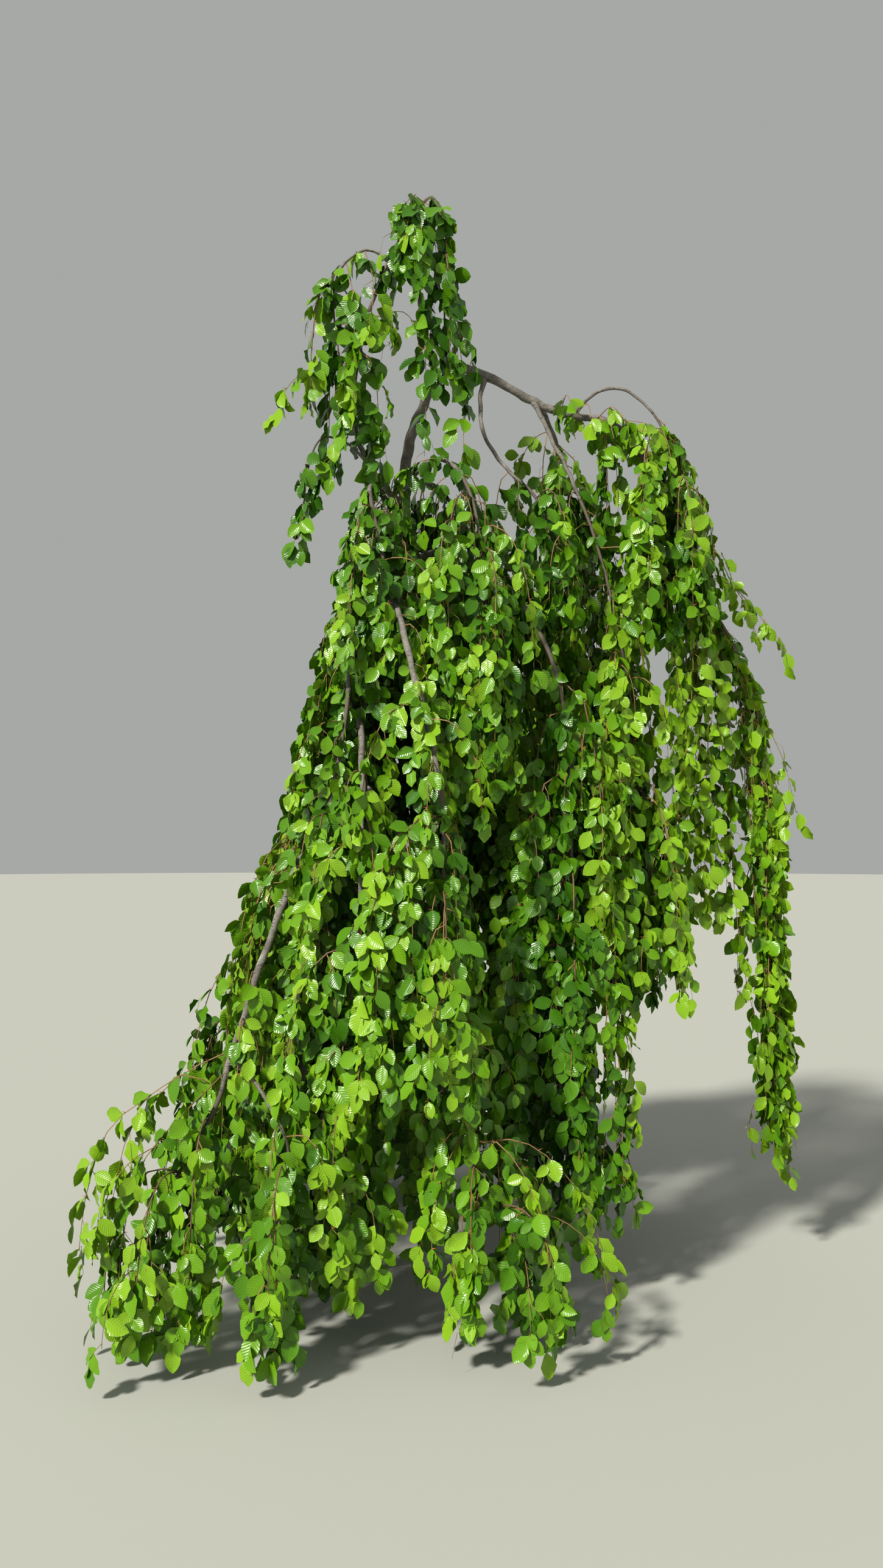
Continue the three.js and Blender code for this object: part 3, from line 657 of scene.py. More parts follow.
# Long streamers that close the crown at its sides and back, between the masses. Each lot has its
# limb and the stretch of it that bears them, their number, the middle of their ends, and the spread.
CURTAINS = {
    "crown_tip": [
        ("leader_top", (0.90, 1.00), 14, (0.520, -0.150, 3.920), (0.115, 0.090, 0.050)),
    ],
    "crown_left": [
        ("leader_low", (0.30, 1.00), 9, (0.355, -0.190, 3.000), (0.070, 0.060, 0.110)),
    ],
    "left_high": [
        ("left_high_bough", (0.10, 0.80), 11, (0.255, -0.150, 1.950), (0.045, 0.120, 0.300)),
        ("left_high_bough", (0.05, 0.60), 6, (0.440, -0.230, 2.550), (0.060, 0.060, 0.200)),
    ],
    "centre_high": [
        ("centre_high_bough", (0.05, 0.60), 8, (0.550, -0.240, 2.550), (0.080, 0.070, 0.200)),
        ("centre_high_bough", (0.50, 1.00), 6, (0.630, -0.250, 2.800), (0.120, 0.080, 0.080)),
    ],
    "arch_crest": [
        ("arch_fall", (0.10, 0.40), 4, (1.410, -0.160, 2.200), (0.090, 0.100, 0.250)),
        ("arch_fall", (0.00, 0.15), 10, (1.300, -0.120, 2.850), (0.070, 0.080, 0.150)),
    ],
    "arch_tail": [
        ("arch_fall", (0.60, 1.00), 8, (1.620, -0.120, 1.550), (0.110, 0.120, 0.280)),
    ],
    "back_left_high": [
        ("back_left_high_bough", (0.10, 0.80), 12, (0.200, 0.160, 1.900), (0.060, 0.160, 0.350)),
    ],
    "left_mid": [
        ("left_mid_bough", (0.15, 0.70), 9, (0.080, -0.200, 1.350), (0.060, 0.120, 0.300)),
        ("left_mid_bough", (0.05, 0.40), 8, (0.060, -0.020, 1.400), (0.040, 0.090, 0.220)),
    ],
    "back_left_low": [
        ("back_left_low_bough", (0.15, 0.80), 12, (-0.020, 0.260, 0.750), (0.090, 0.160, 0.350)),
        ("back_centre_low_bough", (0.40, 1.00), 10, (0.160, 0.800, 0.700), (0.100, 0.140, 0.400)),
    ],
    "left_side": [
        ("left_side_bough", (0.30, 1.00), 12, (-0.110, 0.060, 0.650), (0.080, 0.180, 0.350)),
    ],
    "left_skirt": [
        ("left_low_bough", (0.15, 0.60), 9, (-0.070, -0.420, 0.700), (0.090, 0.160, 0.300)),
        ("left_low_bough", (0.10, 0.50), 8, (-0.120, -0.330, 0.300), (0.090, 0.180, 0.180)),
    ],
    "centre_front": [
        ("front_low_bough", (0.15, 0.65), 14, (0.440, -0.330, 0.260), (0.180, 0.200, 0.180)),
    ],
    "back_right_high": [
        ("pendant_back", (0.10, 0.80), 12, (1.180, 0.230, 1.800), (0.220, 0.100, 0.450)),
    ],
    "back_right_low": [
        ("back_right_low_bough", (0.20, 0.80), 12, (0.950, 0.280, 1.000), (0.200, 0.120, 0.450)),
    ],
    "right_mid": [
        ("right_mid_bough", (0.20, 0.90), 9, (1.050, -0.120, 1.100), (0.180, 0.140, 0.400)),
    ],
    "back_centre_high": [
        ("back_centre_high_bough", (0.20, 1.00), 10, (0.560, 0.450, 1.500), (0.160, 0.160, 0.400)),
    ],
    "back_centre_low": [
        ("back_centre_low_bough", (0.30, 1.00), 12, (0.740, 0.850, 0.700), (0.120, 0.140, 0.400)),
    ],
}
CURTAIN_CLIMB = 0.060

# How much lower than its foot a mass trails its finest twigs.
TRAIL = {"back_centre_high": 0.75, "centre_high": 0.25}


def seeded(seed):
    """Numbers from 0 to 1 by the same rule as the solids."""
    state = seed
    while True:
        state = state * 16807 % 2147483647
        yield state / 2147483647


def level_way(turn):
    """The level way at a turn round the stem."""
    return np.array([math.cos(turn), math.sin(turn), 0])


def free(points):
    """Whether each point lies within the tree's reach and clear of every limb."""
    return in_reach(points) & clear_of_limbs(points, TWIG_GAP)


def near_rooms(points):
    """Whether each point is free, and lies in a mass's capsule or close beside one."""
    return (depths(points).max(1) > -LOOSE) & free(points)


def hanging_line(root, end, climb, shortest, has_room):
    """A shoot that arches off its root and falls to its end, cut back to the part that has room."""
    over = root + ARCH_REACH * (end - root) * (1, 1, 0) + (0, 0, climb)
    above = end + (0, 0, FALL * (root[2] - end[2]))
    path = evenly(bezier(root, over, above, end, FALL_POINTS), PATH_POINTS)
    long = lengths(path)[-1]
    share = 1
    while share * long > shortest:
        line = path[: round(share * (PATH_POINTS - 1)) + 1]
        if has_room(line[UNTESTED::TEST_STEP]).all():
            return evenly(line, TWIG_POINTS)
        share *= SHORTER
    return None


def with_room(lines):
    """The lines that found room, as one array."""
    return np.array([line for line in lines if line is not None]).reshape(-1, TWIG_POINTS, 3)


def stem_of(mass, bough):
    """The stem of a mass, which carries on from its bough's tip and hangs to the mass's foot."""
    ahead = end_way(limbs[bough]["line"])
    drop = math.dist(tips[mass], feet[mass])
    leave = tips[mass] + STEM_LEAD * drop * ahead
    arrive = feet[mass] + (0, 0, STEM_HANG * drop)
    start = tips[mass] - BOUGH_OVERLAP * ahead
    return evenly(bezier(start, leave, arrive, feet[mass], CURVE_POINTS), STEM_LINE_POINTS)


def leafy_ends(name, bough):
    """The parts of a mass's boughs that bear shoots."""
    ends = []
    for limb in [bough, *FURTHER_BOUGHS.get(name, [])]:
        bare = LEAFY_FROM.get(limb, LEAFY_ELSEWHERE)
        ends.append(limbs[limb]["line"][round(bare * (LINE_POINTS - 1)):])
    return ends


def main_shoots(name, mass, stem, first_turn, draws):
    """The main shoots of a mass, by the same draws as in the solids."""
    _, _, girth, count = MASSES[name]

    def own_room(points):
        return in_own_room(points, mass) & clear_of_limbs(points, TWIG_GAP)

    stretches = max(FEWEST_STRETCHES, round(lengths(stem)[-1] / STEM_STEP))
    lines = []
    for number in range(count):
        level = between(SHOOT_LEVELS, (number + next(draws)) / count)
        root = at_share(stem, (math.floor(level * stretches) + IN_STRETCH) / stretches)
        turn = first_turn + number * GOLDEN_ANGLE
        off = (girth[1] - SHOOT_INSET) * math.sqrt((number + FIRST_OUT) / count)
        off *= CLOSE_HUNG.get(name, 1)
        end = feet[mass] + off * level_way(turn)
        end[2] = max(end[2] + SHOOT_HEM * next(draws) * (root[2] - end[2]), LOWEST_TIP)
        lines.append(hanging_line(root, end, SHOOT_CLIMB, SHORTEST_SHOOT, own_room))
    return lines


def stem_streamers(name, mass, stem, first_turn, dice):
    """Streamers off the stem, evenly down it and out to the side of the capsule."""
    _, _, girth, _ = MASSES[name]
    full = FULLNESS.get(name, 1)
    drop = math.dist(tips[mass], feet[mass])
    area = math.pi * girths[mass].mean() ** 2
    count = round(full * STREAMERS_PER_AREA * area * (drop + ROUND_ENDS) / np.mean(STREAMER_LONG))
    lines = []
    for number in range(count):
        level = (number + dice.uniform()) / count
        root = at_share(stem, LOWEST_ROOT * level)
        turn = first_turn + STEM_TURN + number * GOLDEN_ANGLE
        fall = dice.uniform(*STREAMER_LONG)
        foot_share = min(1, level + fall / drop)
        wide = full**0.5 * (between(girth, foot_share) - STREAMER_INSET)
        off = wide * math.sqrt(dice.uniform(LEAST_OUT, 1))
        end = tips[mass] + foot_share * (feet[mass] - tips[mass])
        end = end + off * level_way(turn)
        end[2] = max(min(root[2] - LEAST_FALL, end[2] + STREAMER_HEM * dice.uniform()), LOWEST_TIP)
        lines.append(hanging_line(root, end, STREAMER_CLIMB, SHORTEST_STREAMER, near_rooms))
    return lines


def side_streamers(name, shoots, hem, first_turn, dice):
    """Streamers off the main shoots, close beside each, so that it hangs as a rope of leaves."""
    full = FULLNESS.get(name, 1)
    trail = TRAIL.get(name, 0)
    has_room = free if trail else near_rooms
    lines = []
    for number, shoot in enumerate(shoots):
        long = lengths(shoot)[-1]
        for step in range(int(full * long / SIDE_STEP)):
            root = at_share(shoot, (step + dice.uniform()) * SIDE_STEP / long * SIDE_PART / full)
            turn = first_turn + number + step * GOLDEN_ANGLE
            end = root + full * dice.uniform(*SIDE_OUT) * level_way(turn)
            end[2] = max(end[2] - dice.uniform(*SIDE_LONG) - trail * dice.uniform(), hem)
            lines.append(hanging_line(root, end, SIDE_CLIMB, SHORTEST_TWIG, has_room))
    return lines


def bough_streamers(name, leafy, hem, first_turn, dice):
    """Streamers off the leafy ends of the boughs, all round them."""
    full = FULLNESS.get(name, 1)
    lines = []
    for limb in leafy:
        long = lengths(limb)[-1]
        for number in range(int(full * long / BOUGH_STEP)):
            root = at_share(limb, (number + dice.uniform()) * BOUGH_STEP / long / full)
            turn = first_turn + BOUGH_TURN + number * GOLDEN_ANGLE
            off = dice.uniform(*BOUGH_STREAMER_OUT)
            end = root + off * level_way(turn)
            end[2] = max(end[2] - dice.uniform(*BOUGH_STREAMER_LONG), hem)
            lines.append(hanging_line(root, end, STREAMER_CLIMB, SHORTEST_TWIG, free))
    return lines


def curtain_streamers(name, dice):
    """The long streamers between a mass and its neighbours."""
    lines = []
    for limb, stretch, count, middle, spread in CURTAINS.get(name, []):
        for _ in range(count):
            root = at_share(limbs[limb]["line"], dice.uniform(*stretch))
            end = middle + dice.uniform(-1, 1, 3) * spread
            end[2] = max(end[2], LOWEST_TIP)
            climb = CURTAIN_CLIMB * min(1, root[2] - end[2])
            lines.append(hanging_line(root, end, climb, SHORTEST_STREAMER, free))
    return lines


def drawn_twigs(name):
    """The twigs of a mass that are drawn one by one."""
    lines = []
    for limb, place, through in DRAWN_TWIGS.get(name, []):
        root = at_share(limbs[limb]["line"], place)
        lines.append(evenly(smooth_line([root, *through]), TWIG_POINTS))
    return lines


hung = {}
for mass, (name, (bough, foot, _, _)) in enumerate(MASSES.items()):
    draws = seeded(SHOOT_SEED + SHOOT_SEED_STEP * mass)
    dice = np.random.default_rng(STREAMER_SEED + mass)
    first_turn = math.tau * next(draws)
    hem = max(foot[2] - TRAIL.get(name, 0), LOWEST_TIP)
    stem = stem_of(mass, bough)
    leafy = leafy_ends(name, bough)
    shoots = with_room(main_shoots(name, mass, stem, first_turn, draws))
    streamers = [
        *stem_streamers(name, mass, stem, first_turn, dice),
        *side_streamers(name, shoots, hem, first_turn, dice),
        *bough_streamers(name, leafy, hem, first_turn, dice),
        *curtain_streamers(name, dice),
        *drawn_twigs(name),
    ]
    hung[name] = {
        "dice": dice,
        "stem": evenly(stem, STEM_POINTS),
        "stem_girth": (limbs[bough]["girth"][1], STEM_END),
        "leafy": leafy,
        "shoots": shoots,
        "streamers": with_room(streamers),
    }

# Side sprays stand on both sides of every hanging twig and droop at once. They are thin green-brown
# twigs, each a tube of three sides, and are joined with the stems, shoots and streamers of their mass
# to one piece, in which each kind of twig has its own bark.
SPRAY_STEP = 0.067
SPRAY_STRAY = 0.6
SPRAY_LONG = (0.020, 0.130)
SPRAY_FAN = (0.15, 2.2)
SPRAY_GIRTH = (0.0012, 0.0006)
SPRAY_POINTS = 3
SPRAY_FINE = 20
STEM_SIDES = 6
SHOOT_SIDES = 4
TWIG_SIDES = 3
OFF_ANY_TWIG = (0.94, 0.34, 0.05)
LEAF_GAP = 0.003
UP = np.array([0, 0, 1])

# Where the two handles of a spray's curve and its tip lie from its foot, in lengths of it: aside on
# the level, ahead along its twig, and up.
SPRAY_SHAPE = [(0.30, 0.20, 0.10), (0.42, 0, -0.35), (0.45, 0, -0.85)]


def rods(lines, girth, sides):
    """Closed thin tubes, one along each line, tapered from girth to girth, as points and triangles."""
    ahead = unit(np.gradient(lines, axis=1))
    side = unit(np.cross(ahead, OFF_ANY_TWIG))
    over = np.cross(side, ahead)
    turn = np.arange(sides) * math.tau / sides
    ring = side[:, :, None] * np.cos(turn)[:, None] + over[:, :, None] * np.sin(turn)[:, None]
    radii = np.linspace(*girth, lines.shape[1])
    points = lines[:, :, None] + radii[:, None, None] * ring
    ids = np.arange(points.size // 3).reshape(points.shape[:3])
    near, far = ids[:, :-1], ids[:, 1:]
    near_next, far_next = np.roll(near, -1, 2), np.roll(far, -1, 2)
    walls = [np.stack([near, far, far_next], -1), np.stack([near, far_next, near_next], -1)]
    caps = []
    for k in range(1, sides - 1):
        caps.append(np.stack([ids[:, 0, 0], ids[:, 0, k], ids[:, 0, k + 1]], -1))
        caps.append(np.stack([ids[:, -1, 0], ids[:, -1, k + 1], ids[:, -1, k]], -1))
    return points.reshape(-1, 3), np.vstack([faces.reshape(-1, 3) for faces in walls + caps])


def joined_piece(name, groups, finishes):
    """One piece from groups of points and triangles, each group with its own finish."""
    points = np.vstack([group[0] for group in groups])
    starts = np.cumsum([0] + [len(group[0]) for group in groups[:-1]])
    faces = np.vstack([group[1] + start for group, start in zip(groups, starts)])
    mesh = bpy.data.meshes.new(name)
    mesh.vertices.add(len(points))
    mesh.vertices.foreach_set("co", points.ravel())
    mesh.loops.add(faces.size)
    mesh.loops.foreach_set("vertex_index", faces.ravel())
    mesh.polygons.add(len(faces))
    mesh.polygons.foreach_set("loop_start", np.arange(0, faces.size, 3))
    which = np.repeat(np.arange(len(groups)), [len(group[1]) for group in groups])
    mesh.polygons.foreach_set("material_index", which)
    mesh.polygons.foreach_set("use_smooth", np.ones(len(faces), bool))
    mesh.update(calc_edges=True)
    for finish in finishes:
        mesh.materials.append(finish)
    piece = bpy.data.objects.new(name, mesh)
    bpy.context.scene.collection.objects.link(piece)
    return piece


def twig_finish(name, colour, roughness):
    """Thin young bark, a little uneven."""
    finish, shader = new_finish(name, roughness)
    shader.inputs["Base Color"].default_value = (*colour, 1)
    place = put(finish, "TexCoord").outputs["Object"]
    grain = put(finish, "TexNoise", Vector=place, Scale=260, Detail=3)
    bump = put(finish, "Bump", Height=grain.outputs["Fac"], Strength=0.4, Distance=0.0006)
    plug(finish, shader.inputs["Normal"], bump.outputs["Normal"])
    return finish


def spray_feet(lines, dice):
    """Where sprays stand on twigs: points, the twig's way there, share of the twig, and side of it."""
    roots, ahead, share, hands = [], [], [], []
    for line in lines:
        run = lengths(line)
        count = int(run[-1] / SPRAY_STEP)
        places = run[-1] - SPRAY_STEP * (np.arange(count) + dice.uniform(0, SPRAY_STRAY, count))
        roots.append(at_places(places, run, line))
        ahead.append(at_places(places, run, np.gradient(line, axis=0)))
        share.append(places / run[-1])
        hands.append(np.where(np.arange(count) % 2, 1, -1))
    return np.vstack(roots), unit(np.vstack(ahead)), np.hstack(share), np.hstack(hands)


def sprays_on(lines, mass, dice):
    """The sprays of a mass that have room: their curves, and what their leaves need to know."""
    roots, ahead, share, hands = spray_feet(lines, dice)
    out = outward(roots, mass)
    sideways = np.cross(UP, out)
    fan = hands * dice.uniform(*SPRAY_FAN, len(roots))
    ways = out * np.cos(fan)[:, None] + sideways * np.sin(fan)[:, None]
    long = between(SPRAY_LONG, dice.uniform(0, 1, (len(roots), 1)) ** 2)
    curves = [roots]
    for aside, along, up in SPRAY_SHAPE:
        curves.append(roots + long * (aside * ways + along * ahead + up * UP))
    kept = in_reach(curves[-1]) & clear_of_limbs(curves[-1], LEAF_GAP)
    curves = [curve[kept] for curve in curves]
    fine = bezier(*curves, SPRAY_FINE + 1)
    return {
        "curves": curves,
        "fine": fine,
        "ahead": unit(np.gradient(fine, axis=1)),
        "out": out[kept],
        "aside": ways[kept],
        "hands": hands[kept],
        "share": share[kept],
    }


stem_bark = twig_finish("stem_bark", (0.105, 0.080, 0.060), roughness=0.75)
shoot_bark = twig_finish("shoot_bark", (0.150, 0.085, 0.045), roughness=0.6)
streamer_bark = twig_finish("streamer_bark", (0.260, 0.150, 0.055), roughness=0.55)
spray_bark = twig_finish("spray_bark", (0.270, 0.200, 0.050), roughness=0.5)
for mass, (name, hang) in enumerate(hung.items()):
    lines = [hang["stem"], *hang["leafy"], *hang["shoots"], *hang["streamers"]]
    hang["sprays"] = sprays_on(lines, mass, hang["dice"])
    groups = [
        rods(hang["stem"][None], hang["stem_girth"], STEM_SIDES),
        rods(hang["shoots"], SHOOT_GIRTH, SHOOT_SIDES),
        rods(hang["streamers"], STREAMER_GIRTH, TWIG_SIDES),
        rods(bezier(*hang["sprays"]["curves"], SPRAY_POINTS), SPRAY_GIRTH, TWIG_SIDES),
    ]
    twigs = joined_piece(name + "_twigs", groups, [stem_bark, shoot_bark, streamer_bark, spray_bark])
    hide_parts(name)
    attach(twigs, "root")

# A beech leaf is a thin oval blade with a short stalk, widest at its middle, folded a little along
# its midrib, with a wavy edge and a tip that curls down. Leaves grow at places from the foot of each
# spray to its tip, left and right in turn. Each is sixteen triangles, and all of a mass are one piece.
LEAF_LONG = (0.048, 0.082)
LEAF_WIDE = (0.58, 0.74)
FOLD = (0.05, 0.55)
CURL = (0.0, 0.30)
WAVE = (-0.055, 0.055)
VEIN_SLANT = 0.45
VEIN_STEP = 0.055

# The fifteen points of a blade: how far along and to the side of it each lies, in shares of its length
# and of half its width, how the edge waves there, and the faces between them.
LEAF_RUN = np.array([0, 0.25, 0.50, 0.76, *(0.11, 0.27, 0.48, 0.70, 0.88) * 2, 1])
LEAF_SIDE = np.array([0, 0, 0, 0, -0.36, -0.82, -1, -0.86, -0.46, 0.36, 0.82, 1, 0.86, 0.46, 0])
LEAF_WAVE = np.array([0, 0, 0, 0, 0.4, -1, 1, -1, 0.6, -0.4, 1, -1, 1, -0.6, 0])
LEFT_FACES = [(0, 1, 4), (1, 5, 4), (1, 2, 5), (2, 6, 5), (2, 7, 6), (2, 3, 7), (3, 8, 7), (3, 14, 8)]
RIGHT_FACES = [
    (0, 9, 1), (1, 9, 10), (1, 10, 2), (2, 10, 11), (2, 11, 12), (2, 12, 3), (3, 12, 13), (3, 13, 14),
]
LEAF_FACES = np.array(LEFT_FACES + RIGHT_FACES)
LEAF_MIDDLE, LEAF_TIP = 2, 14

# The steps of a spray at which leaves may grow, and the share of those places that bear one. Separate
# strings bear fewer leaves, and those at the top of the tree bear larger ones.
LEAF_PLACES = (0, 6, 11, 16, 20)
LEAFED = {"crown_tip": 0.57, "crown_left": 0.60, "left_sprig": 0.62, "arch_tail": 0.52}
LEAFED_ELSEWHERE = 0.72
SPARSE = 0.1
SPARSE_SIZE = 1.18

# How a leaf lies: it runs on along its spray, to one side of it, down, and out of the crown, and it
# faces out of the crown, the way its spray stands, and up. Leaves of a single string face all ways.
RUN_ON = 0.45
SPREAD = (0.3, 1.1)
END_SPREAD = 0.1
DROOP = (0.25, 1.05)
LIFT = (-0.1, 0.5)
FACE_OUT = 0.8
FACE_ASIDE = 0.4
FACE_UP = 0.45
FACING = {"arch_tail": 1.2, "crown_left": 0.7}
FACING_ELSEWHERE = 0.45

# Whole sprays share a tint, from deep green to fresh yellow-green, and the tint also carries painted light.
# A spray is painted lighter near the side of its mass and far from the crown's middle, as if sunlit, and
# darker deep inside, as painted shade. It is fresher towards the tip of its twig, each mass has its own
# painted light or shade, and sprays and leaves vary at random.
LEAF_TINTS = {
    "leaf_deep_shaded": (0.022, 0.088, 0.002),
    "leaf_green": (0.040, 0.138, 0.003),
    "leaf_mid": (0.070, 0.200, 0.004),
    "leaf_light": (0.118, 0.280, 0.006),
    "leaf_fresh_sunlit": (0.195, 0.375, 0.012),
}
TINT_STEPS = (0.42, 0.60, 0.78, 0.96)
# Painted light and shade of each mass: how much lighter or darker its leaves are tinted for the light or
# shade that falls on it.
MASS_PAINTED_LIGHT = {
    "crown_tip": -0.04,
    "crown_left": 0.20,
    "left_sprig": 0.05,
    "arch_crest": -0.20,
    "arch_tail": 0.15,
    "pendant_near_fall": -0.15,
    "pendant_far_fall": 0.10,
    "centre_high": -0.05,
    "right_mid": -0.12,
    "left_high": 0.10,
    "left_mid": 0.06,
    "front_skirt": 0.06,
    "left_skirt": 0.06,
    "back_centre_high": -0.20,
    "back_right_high": -0.10,
    "back_left_high": -0.10,
}
SPRAY_CHANCE = 0.45
LEAF_CHANCE = 0.15
# Painted light: how much lighter sprays are tinted near the side of their mass and far out in the crown.
MASS_SIDE_LIT = 0.50
FRESH_TIP = 0.1
CROWN_SIDE_LIT = 0.35
CROWN_WIDE = 1.20
CROWN_TAPER = 0.20
CROWN_EVEN = 0.65


def reckon(finish, operation, *values):
    """One step of arithmetic in a finish, on sockets or plain numbers."""
    step = put(finish, "Math")
    step.operation = operation
    for socket, value in zip(step.inputs, values):
        plug(finish, socket, value)
    return step.outputs[0]


def leaf_finish(name, colour):
    """A glossy leaf of one plain colour, with its midrib and slanting side veins sunk into it."""
    finish, shader = new_finish(name, roughness=0.29)
    shader.inputs["Base Color"].default_value = (*colour, 1)
    shader.inputs["Specular IOR Level"].default_value = 0.36
    blade = put(finish, "SeparateXYZ", Vector=put(finish, "UVMap").outputs["UV"])
    side = reckon(finish, "ABSOLUTE", blade.outputs["X"])
    slant = reckon(finish, "MULTIPLY_ADD", side, -VEIN_SLANT, blade.outputs["Y"])
    veins = reckon(finish, "PINGPONG", slant, VEIN_STEP)
    rib = reckon(finish, "MINIMUM", veins, side)
    bump = put(finish, "Bump", Height=rib, Strength=0.8, Distance=0.014)
    plug(finish, shader.inputs["Normal"], bump.outputs["Normal"])
    return finish


def blades(roots, along, facing, size, dice):
    """The points of leaf blades that grow from their roots, each along its way."""
    count = len(roots)
    side = unit(np.cross(along, facing))
    out = np.cross(side, along)
    wide = size * dice.uniform(*LEAF_WIDE, count) / 2
    fold = dice.uniform(*FOLD, count)[:, None]
    curl = dice.uniform(*CURL, count)[:, None]
    wave = dice.uniform(*WAVE, count)[:, None]
    run = size[:, None] * LEAF_RUN
    across = wide[:, None] * LEAF_SIDE
    lift = fold * np.abs(across) + size[:, None] * (wave * LEAF_WAVE - curl * LEAF_RUN**2)
    points = roots[:, None] + run[..., None] * along[:, None] + across[..., None] * side[:, None]
    return points + lift[..., None] * out[:, None]


def painted_light_and_freshness(name, mass, sprays, dice):
    """How light each spray's green is: about 0 as painted shade inside, to 1 and over as painted sunlight
    outside.
    """
    tips_of_sprays = sprays["curves"][-1]
    lit_and_fresh = MASS_PAINTED_LIGHT.get(name, 0) + SPRAY_CHANCE * dice.uniform(0, 1, len(tips_of_sprays))
    # Painted shade: sprays deep in their mass get darker tints, sprays near its side lighter ones.
    depth = depths(tips_of_sprays).max(1) / girths[mass, 1]
    lit_and_fresh += MASS_SIDE_LIT * (1 - depth.clip(0, 1)) + FRESH_TIP * sprays["share"]
    # Painted light and shade: sprays far from the crown's middle, for its width at their height, get
    # lighter tints.
    far_out = np.linalg.norm((tips_of_sprays - CROWN_MIDDLE)[:, :2], axis=1)
    crown = CROWN_WIDE - CROWN_TAPER * tips_of_sprays[:, 2]
    return lit_and_fresh + CROWN_SIDE_LIT * (far_out / crown - CROWN_EVEN)


def leaves_on(name, mass, sprays, dice):
    """The points of all leaf blades of a mass that have room, and the number of each one's tint."""
    lit_and_fresh = painted_light_and_freshness(name, mass, sprays, dice)
    turned = FACING.get(name, FACING_ELSEWHERE)
    out, hands = sprays["out"], sprays["hands"]
    square = FACE_OUT * out + FACE_ASIDE * sprays["aside"] + FACE_UP * UP
    roots, along, facing, tints = [], [], [], []
    for turn, place in enumerate(LEAF_PLACES):
        hand = (hands if turn % 2 else -hands)[:, None]
        point, way = sprays["fine"][:, place], sprays["ahead"][:, place]
        one_each = (len(point), 1)
        face = square + dice.normal(0, turned, point.shape)
        across = unit(np.cross(face, way))
        spread = dice.uniform(*SPREAD, one_each) * (END_SPREAD if place == SPRAY_FINE else 1)
        lift = dice.uniform(*LIFT, one_each)
        droop = dice.uniform(*DROOP, one_each)
        roots.append(point)
        along.append(unit(RUN_ON * way - droop * UP + hand * spread * across + lift * out))
        facing.append(face)
        tints.append(np.digitize(lit_and_fresh + LEAF_CHANCE * dice.uniform(0, 1, len(lit_and_fresh)), TINT_STEPS))
    roots, along, facing, tints = np.vstack(roots), np.vstack(along), np.vstack(facing), np.hstack(tints)
    larger = SPARSE_SIZE if FULLNESS.get(name, 1) < SPARSE else 1
    size = dice.uniform(*LEAF_LONG, len(roots)) * larger
    leaves = blades(roots, along, facing, size, dice)
    kept = dice.uniform(0, 1, len(leaves)) < LEAFED.get(name, LEAFED_ELSEWHERE)
    for spot in (LEAF_MIDDLE, LEAF_TIP):
        kept &= in_reach(leaves[:, spot]) & clear_of_limbs(leaves[:, spot], LEAF_GAP)
    return leaves[kept], tints[kept]


def foliage_piece(name, leaves, tints):
    """The leaves of a mass as one piece, with the map of the blade that the veins follow."""
    groups = []
    for number in range(len(leaf_finishes)):
        chosen = leaves[tints == number]
        faces = LEAF_FACES + len(LEAF_RUN) * np.arange(len(chosen))[:, None, None]
        groups.append((chosen.reshape(-1, 3), faces.reshape(-1, 3)))
    foliage = joined_piece(name, groups, leaf_finishes)
    corners = np.zeros(len(foliage.data.loops), np.int32)
    foliage.data.loops.foreach_get("vertex_index", corners)
    spot = corners % len(LEAF_RUN)
    blade = foliage.data.uv_layers.new(name="leaf")
    blade.data.foreach_set("uv", np.column_stack([LEAF_SIDE[spot] / 2, LEAF_RUN[spot]]).ravel())
    return foliage


leaf_finishes = [leaf_finish(name, colour) for name, colour in LEAF_TINTS.items()]
for mass, (name, hang) in enumerate(hung.items()):
    leaves, tints = leaves_on(name, mass, hang["sprays"], hang["dice"])
    foliage = foliage_piece(name + "_leaves", leaves, tints)
    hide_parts(name)
    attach(foliage, "root")

# Slim brown scales of the spring buds still sit where sprays leave their twigs. Each is a pointed
# spindle of dry skin that stands along the spray and up, and about half of the sprays have kept one.
SCALED = 0.5
SCALE_LONG = 0.017
SCALE_GIRTH = (0.0022, 0.00011)
SCALE_UP = 0.5

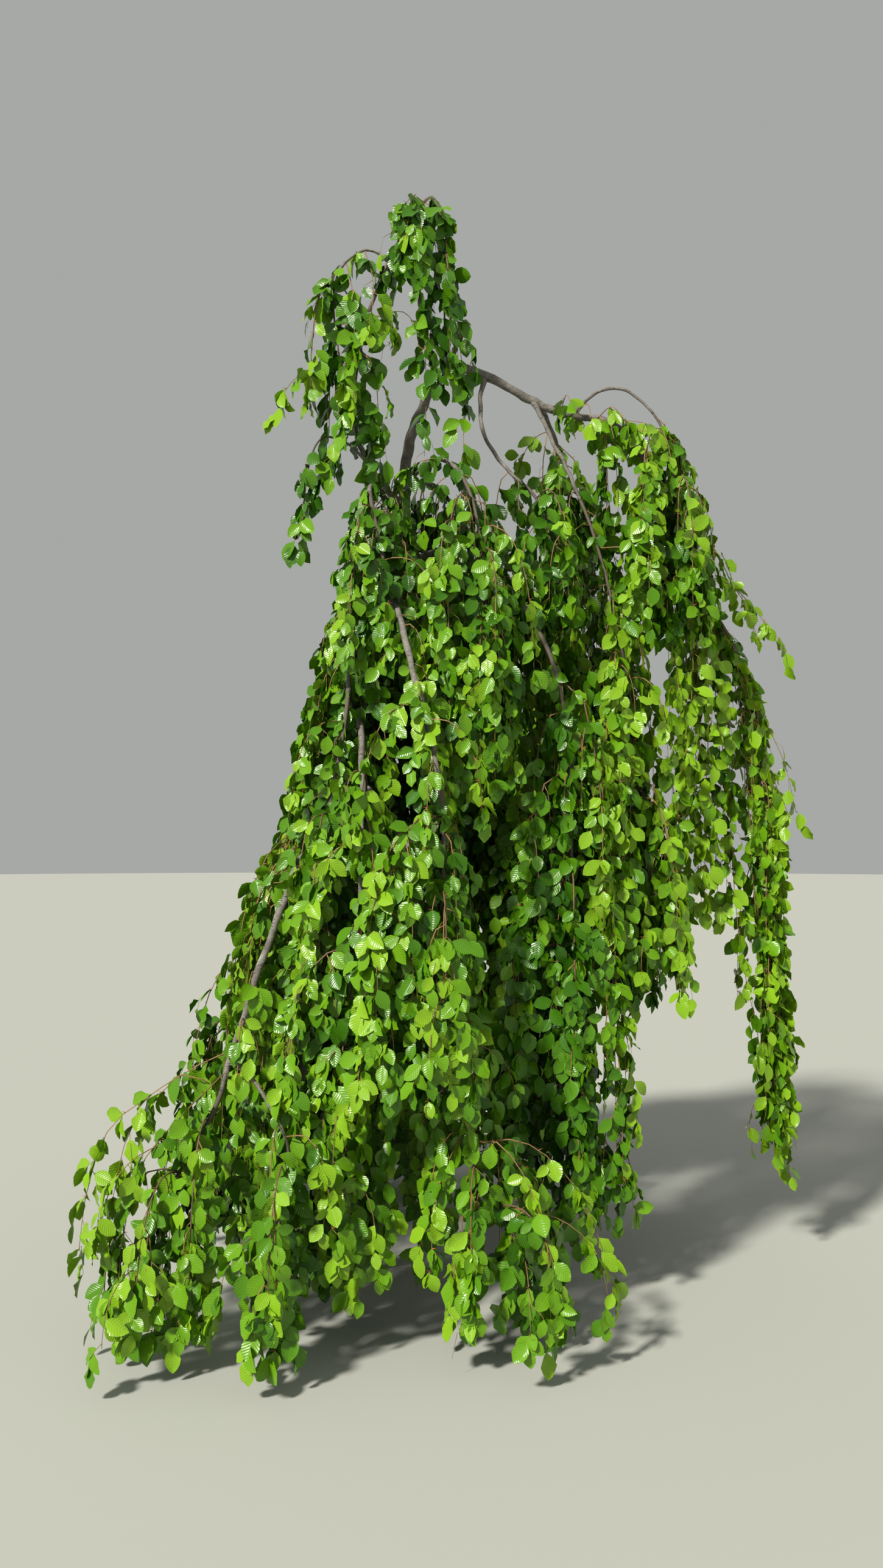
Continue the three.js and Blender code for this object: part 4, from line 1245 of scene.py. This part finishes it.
bud_brown = twig_finish("bud_brown", (0.42, 0.16, 0.05), roughness=0.5)
for name, hang in hung.items():
    sprays = hang["sprays"]
    chosen = hang["dice"].uniform(0, 1, len(sprays["fine"])) < SCALED
    start = sprays["fine"][chosen, 0]
    along = unit(sprays["ahead"][chosen, 0] + SCALE_UP * UP)
    spindles = np.stack([start, start + SCALE_LONG * along], axis=1)
    scales = joined_piece(name + "_bud_scales", [rods(spindles, SCALE_GIRTH, TWIG_SIDES)], [bud_brown])
    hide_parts(name)
    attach(scales, "root")

# The tree stands on a plain pale floor under a pale sky, which is the same all round, with one broad
# warm sun lamp high at the front left. The camera stands at eye height, 4.7 m in front of the trunk.
FLOOR_RADIUS = 60
FLOOR_COLOUR = (0.41, 0.42, 0.38, 1)
SKY_COLOUR = (0.86, 0.88, 0.85, 1)
SKY_STRENGTH = 0.45
SUN_FROM_ABOVE = 48
SUN_TURN = -38
SUN_STRENGTH = 5.0
SUN_WIDE = 6
SUN_COLOUR = (1.0, 0.96, 0.88)
EYE = (0.60, -4.70, 1.60)
LOOK_UP = 2.87
LENS = 27.03
SENSOR = 36
FARTHEST_SEEN = 300

bpy.ops.object.select_all(action="DESELECT")
bpy.ops.mesh.primitive_circle_add(vertices=96, radius=FLOOR_RADIUS, fill_type="NGON", location=(0, 0, 0))
floor = bpy.context.object
floor.name = "floor"
floor_finish, floor_shader = new_finish("pale_floor", roughness=0.9)
floor_shader.inputs["Base Color"].default_value = FLOOR_COLOUR
floor.data.materials.append(floor_finish)

world = bpy.data.worlds.new("studio")
world.use_nodes = True
sky = world.node_tree.nodes["Background"]
sky.inputs["Color"].default_value = SKY_COLOUR
sky.inputs["Strength"].default_value = SKY_STRENGTH
bpy.context.scene.world = world

bpy.ops.object.light_add(type="SUN", rotation=(math.radians(SUN_FROM_ABOVE), 0, math.radians(SUN_TURN)))
sun = bpy.context.object
sun.data.energy = SUN_STRENGTH
sun.data.angle = math.radians(SUN_WIDE)
sun.data.color = SUN_COLOUR

bpy.ops.object.camera_add(location=EYE, rotation=(math.radians(90 + LOOK_UP), 0, 0))
camera = bpy.context.object
camera.data.lens = LENS
camera.data.sensor_width = SENSOR
camera.data.clip_end = FARTHEST_SEEN
bpy.context.scene.camera = camera
bpy.context.scene.view_settings.view_transform = "Standard"
